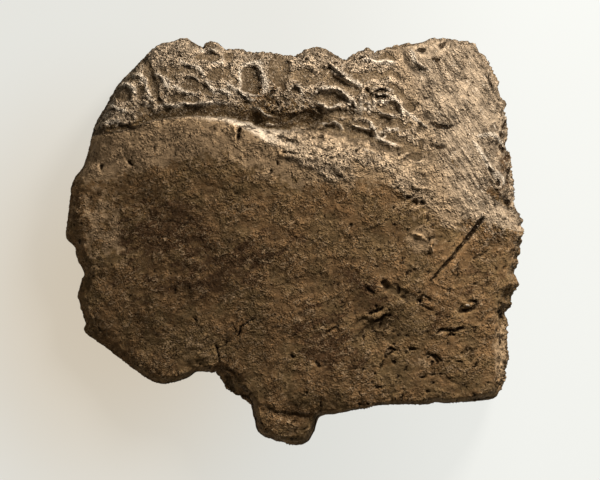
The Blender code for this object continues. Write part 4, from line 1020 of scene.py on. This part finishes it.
def clay_marks(n):
    """The marks of the clay, each as a value from about 0 to 1 over the surface."""
    m = SimpleNamespace()
    m.rough, m.streak, m.lip = (n.mask(name) for name in ("rough", "streak", "lip"))
    m.sealed = n.most(n.most(m.rough, m.streak), m.lip)
    m.right = n.ramp("right", n.across)
    m.crumb, m.speck, m.scored = (n.grain(name) for name in ("crumb", "speck", "scored"))
    m.flake, m.shard, m.scar = (n.spots(name) for name in ("flake", "shard", "scar"))
    m.scale = n.ramp("scale", n.mixed_value(m.right, n.grain("left_scale"), n.grain("right_scale")))
    m.crack, m.thread = n.threads("crack"), n.threads("thread")
    ragged = n.times(n.calc("SUBTRACT", m.crumb, 0.5), RAGGED_EDGE)
    m.pit, m.ridge, m.calm = (
        n.ramp(name, n.added((n.mask(name), 1.0), (ragged, share))) for name, share in RAGGED_MASKS
    )
    m.busy = n.most(n.spots("busy"), m.rough)
    m.even = n.most(m.calm, n.times(m.lip, 0.5))
    m.crack = n.times(m.crack, n.most(n.times(m.rough, 0.9), m.lip))
    m.crack = n.times(m.crack, n.rest(m.calm))
    pore = n.calc("SUBTRACT", n.grain("pore"), n.added((m.rough, 0.06), (m.streak, 0.02)))
    m.pore = n.ramp("pore", pore)
    # This grain noise drives flecks of painted highlight, a brightness that follows the fine relief, and
    # warm painted shade in its low spots.
    worn = n.mixed_value(
        m.sealed,
        n.added((n.grain("drawn"), 0.55), (m.speck, 0.45)),
        n.added((m.crumb, 0.35), (m.speck, 0.65)),
    )
    m.worn = n.mixed_value(m.streak, worn, n.added((n.grain("torn"), 0.6), (m.speck, 0.4)))
    return m


def clay_colour(n, m):
    """Brown and olive clay with rust, stains and painted shade, then dust, fields, ridges, cracks and pits,
    then grain; painted light and painted shade also run through the fields, ridges, lip, raised spots,
    cracks, pits, pores and grain.
    """
    colour = n.mixed(n.spots("olive"), BROWN, OLIVE)
    colour = n.mixed(n.spots("rust"), colour, RUST)
    # Dark stains, with painted shade in the hollows of the broken right side.
    stain_and_shade = n.added((n.grain("stain_and_shade"), 1.0), (n.mask("stain_and_shade"), 0.30))
    colour = n.mixed(n.ramp("stain_and_shade", stain_and_shade), colour, DARK)
    # Paler clay where the dust noise and the pale mask are high: dust, and painted light on the crest's
    # wall and on the broken face towards the lamp.
    pale = n.mixed(m.sealed, DUST, PALE)
    dust = n.added((n.grain("dust"), 1.0), (n.mask("pale"), 0.40))
    colour = n.mixed(n.ramp("dust", dust), colour, pale)
    # Sides paler, more towards the right: partly the fresh break, partly painted light.
    colour = n.mixed(n.times(n.mask("side"), 0.5), colour, BROKEN)
    # Fields and low ground darker: partly their brown clay, partly painted shade.
    colour = n.mixed(n.times(m.calm, 0.8), colour, FIELD)
    # Raised spots lighter and low spots darker: partly the clay's paler crumbs, partly painted light on the
    # rises and painted shade in the hollows.
    colour = n.brighter(colour, n.ramp("proud", n.mask("proud")))
    colour = n.brighter(colour, n.spots("tone"))
    # Ridges and the lip turn pale: partly rubbed, dusty clay, partly a painted highlight.
    colour = n.mixed(n.added((m.ridge, 0.9), (m.lip, 0.5)), colour, PALE_AND_HIGHLIGHT)
    colour = n.mixed(n.times(m.crack, 0.9), colour, SHADE)
    colour = n.mixed(n.times(m.pit, 0.95), colour, SHADE)
    colour = n.brighter(colour, n.ramp("ends", n.times(n.mask("pale"), m.rough)))
    plain = colour

    colour = n.mixed(n.times(m.thread, n.times(m.busy, 0.85)), colour, pale)
    tan = n.mixed_value(m.right, n.grain("left_tan"), n.grain("right_tan"))
    colour = n.mixed(n.ramp("tan", tan), colour, pale)
    fleck = n.times(n.spots("fleck"), n.ramp("sealed_flecks", m.sealed))
    colour = n.mixed(fleck, colour, OCHRE)
    colour = n.mixed(n.times(m.pore, 0.9), colour, SHADE)
    # Glints: painted highlights on the high spots of the grain, in pale colours.
    glint = n.times(n.ramp("glint", m.worn), n.ramp("sealed_glints", m.sealed))
    colour = n.mixed(glint, colour, n.mixed(m.sealed, GLINT, PALE_AND_HIGHLIGHT))
    # Brightness follows the grain and the scored streaks, which also shape the bump: partly the clay's own
    # mottling, partly painted light and shade on the fine relief.
    shade = n.mixed_value(m.streak, n.ramp("grain", m.worn), 1.0)
    line = n.added((n.ramp("line", m.scored), m.streak), (1.0, n.rest(m.streak)))
    colour = n.mixed(m.busy, colour, n.brighter(colour, n.times(shade, line)))
    # Warm painted shade in the low spots of the grain.
    deep = n.added((m.worn, 1.0), (m.streak, -0.03))
    colour = n.mixed(n.times(n.ramp("deep", deep), m.busy), colour, WARM_PAINTED_SHADE)
    clean = n.most(n.times(m.even, 0.6), n.times(m.ridge, 0.4))
    return n.mixed(clean, colour, plain)


def clay_relief(n, m):
    """The height of the finest relief in millimetres."""
    height = n.added(
        (m.crumb, n.added((m.rough, CRUMB_ROUGH), (n.rest(m.streak, 0.8), CRUMB))),
        (m.speck, n.added((m.rough, SPECK_ROUGH), (m.streak, SPECK_STREAK), (1.0, SPECK))),
        (m.scale, SCALE),
        (m.thread, THREAD),
        (m.crack, -CRACK),
        (m.shard, n.times(m.rough, SHARD)),
    )
    height = n.added(
        (n.times(height, m.busy), 1.0),
        (m.flake, n.added((m.rough, FLAKE_ROUGH), (1.0, FLAKE))),
        (m.scored, n.times(m.streak, SCORED)),
        (m.scar, n.times(m.streak, SCAR)),
    )
    height = n.times(height, n.rest(m.even, 0.7))
    return n.added((height, 1.0), (m.ridge, RIDGE), (m.pit, -PIT), (m.pore, -PORE))


def clay():
    n = Nodes("clay")
    m = clay_marks(n)
    bump = n.add("ShaderNodeBump", {"Height": clay_relief(n, m), "Strength": 1.0, "Distance": MM})
    n.feed(n.shader, {
        "Base Color": clay_colour(n, m), "Roughness": n.ramp("roughness", m.speck),
        "Normal": bump.outputs[0], "Specular IOR Level": CLAY_SHINE,
    })
    return n.material


# Light, table and camera


def floor_material():
    """A pale table that glows with painted light, brighter at the right, with a broad soft painted shadow
    left of the lump.
    """
    n = Nodes("pale_table")
    glow = n.mixed(n.ramp("table_right", n.across), GLOW_LEFT, GLOW_RIGHT)
    inputs = {"Vector": n.place, "Location": SHADE_PLACE, "Scale": SHADE_SCALE}
    spot = n.add("ShaderNodeMapping", inputs).outputs[0]
    far = n.add("ShaderNodeVectorMath", {0: spot}, operation="LENGTH").outputs["Value"]
    glow = n.mixed(n.ramp("table_shade", far), glow, GLOW_SHADE)
    n.feed(n.shader, {
        "Emission Color": glow, "Emission Strength": 1.0, "Base Color": FLOOR_COLOUR,
        "Roughness": 1.0, "Specular IOR Level": 0.0,
    })
    return n.material


def area_light(name, azimuth, elevation, distance, size, power, colour):
    """A square light that looks at the lump from this direction."""
    data = bpy.data.lights.new(name, "AREA")
    data.size = size
    data.energy = power
    data.color = colour
    lamp = bpy.data.objects.new(name, data)
    a, e = math.radians(azimuth), math.radians(elevation)
    lamp.location = [
        distance * math.cos(e) * math.cos(a),
        distance * math.cos(e) * math.sin(a),
        distance * math.sin(e) + LIT_HEIGHT,
    ]
    lamp.rotation_euler = (math.pi / 2 - e, 0, math.pi / 2 + a)
    bpy.context.scene.collection.objects.link(lamp)


def studio():
    bpy.ops.mesh.primitive_plane_add(size=FLOOR_SIZE)
    floor = bpy.context.object
    floor.name = "floor"
    floor.data.materials.append(floor_material())
    area_light("key", *KEY)
    world = bpy.data.worlds.new("studio")
    world.use_nodes = True
    background = world.node_tree.nodes["Background"]
    background.inputs["Color"].default_value = SKY_COLOUR
    background.inputs["Strength"].default_value = SKY
    bpy.context.scene.world = world


def camera():
    data = bpy.data.cameras.new("camera")
    data.lens = LENS
    data.sensor_width = SENSOR
    eye = bpy.data.objects.new("camera", data)
    eye.location = (CENTRE[0] * MM, CENTRE[1] * MM, VIEW_HEIGHT * MM + VIEW_WIDTH * MM * LENS / SENSOR)
    bpy.context.scene.collection.objects.link(eye)
    bpy.context.scene.camera = eye


def clay_lump():
    face = FaceMap()
    points, quads, *edges = lump_surface(GRID_LINES, face)
    points = roughened(points, *edges) * MM
    lump = mesh_object("clay_lump", points, quads, clay())
    simplify(lump, TRIANGLES)
    fit_to_box(lump.data, *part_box("jar_sealing"))
    store_masks(lump.data, face)
    lump.data.shade_smooth()
    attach(lump, "root")
    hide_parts("jar_sealing")


clay_lump()
studio()
camera()
settings = bpy.context.scene.view_settings
settings.view_transform = "Standard"
settings.look = "None"
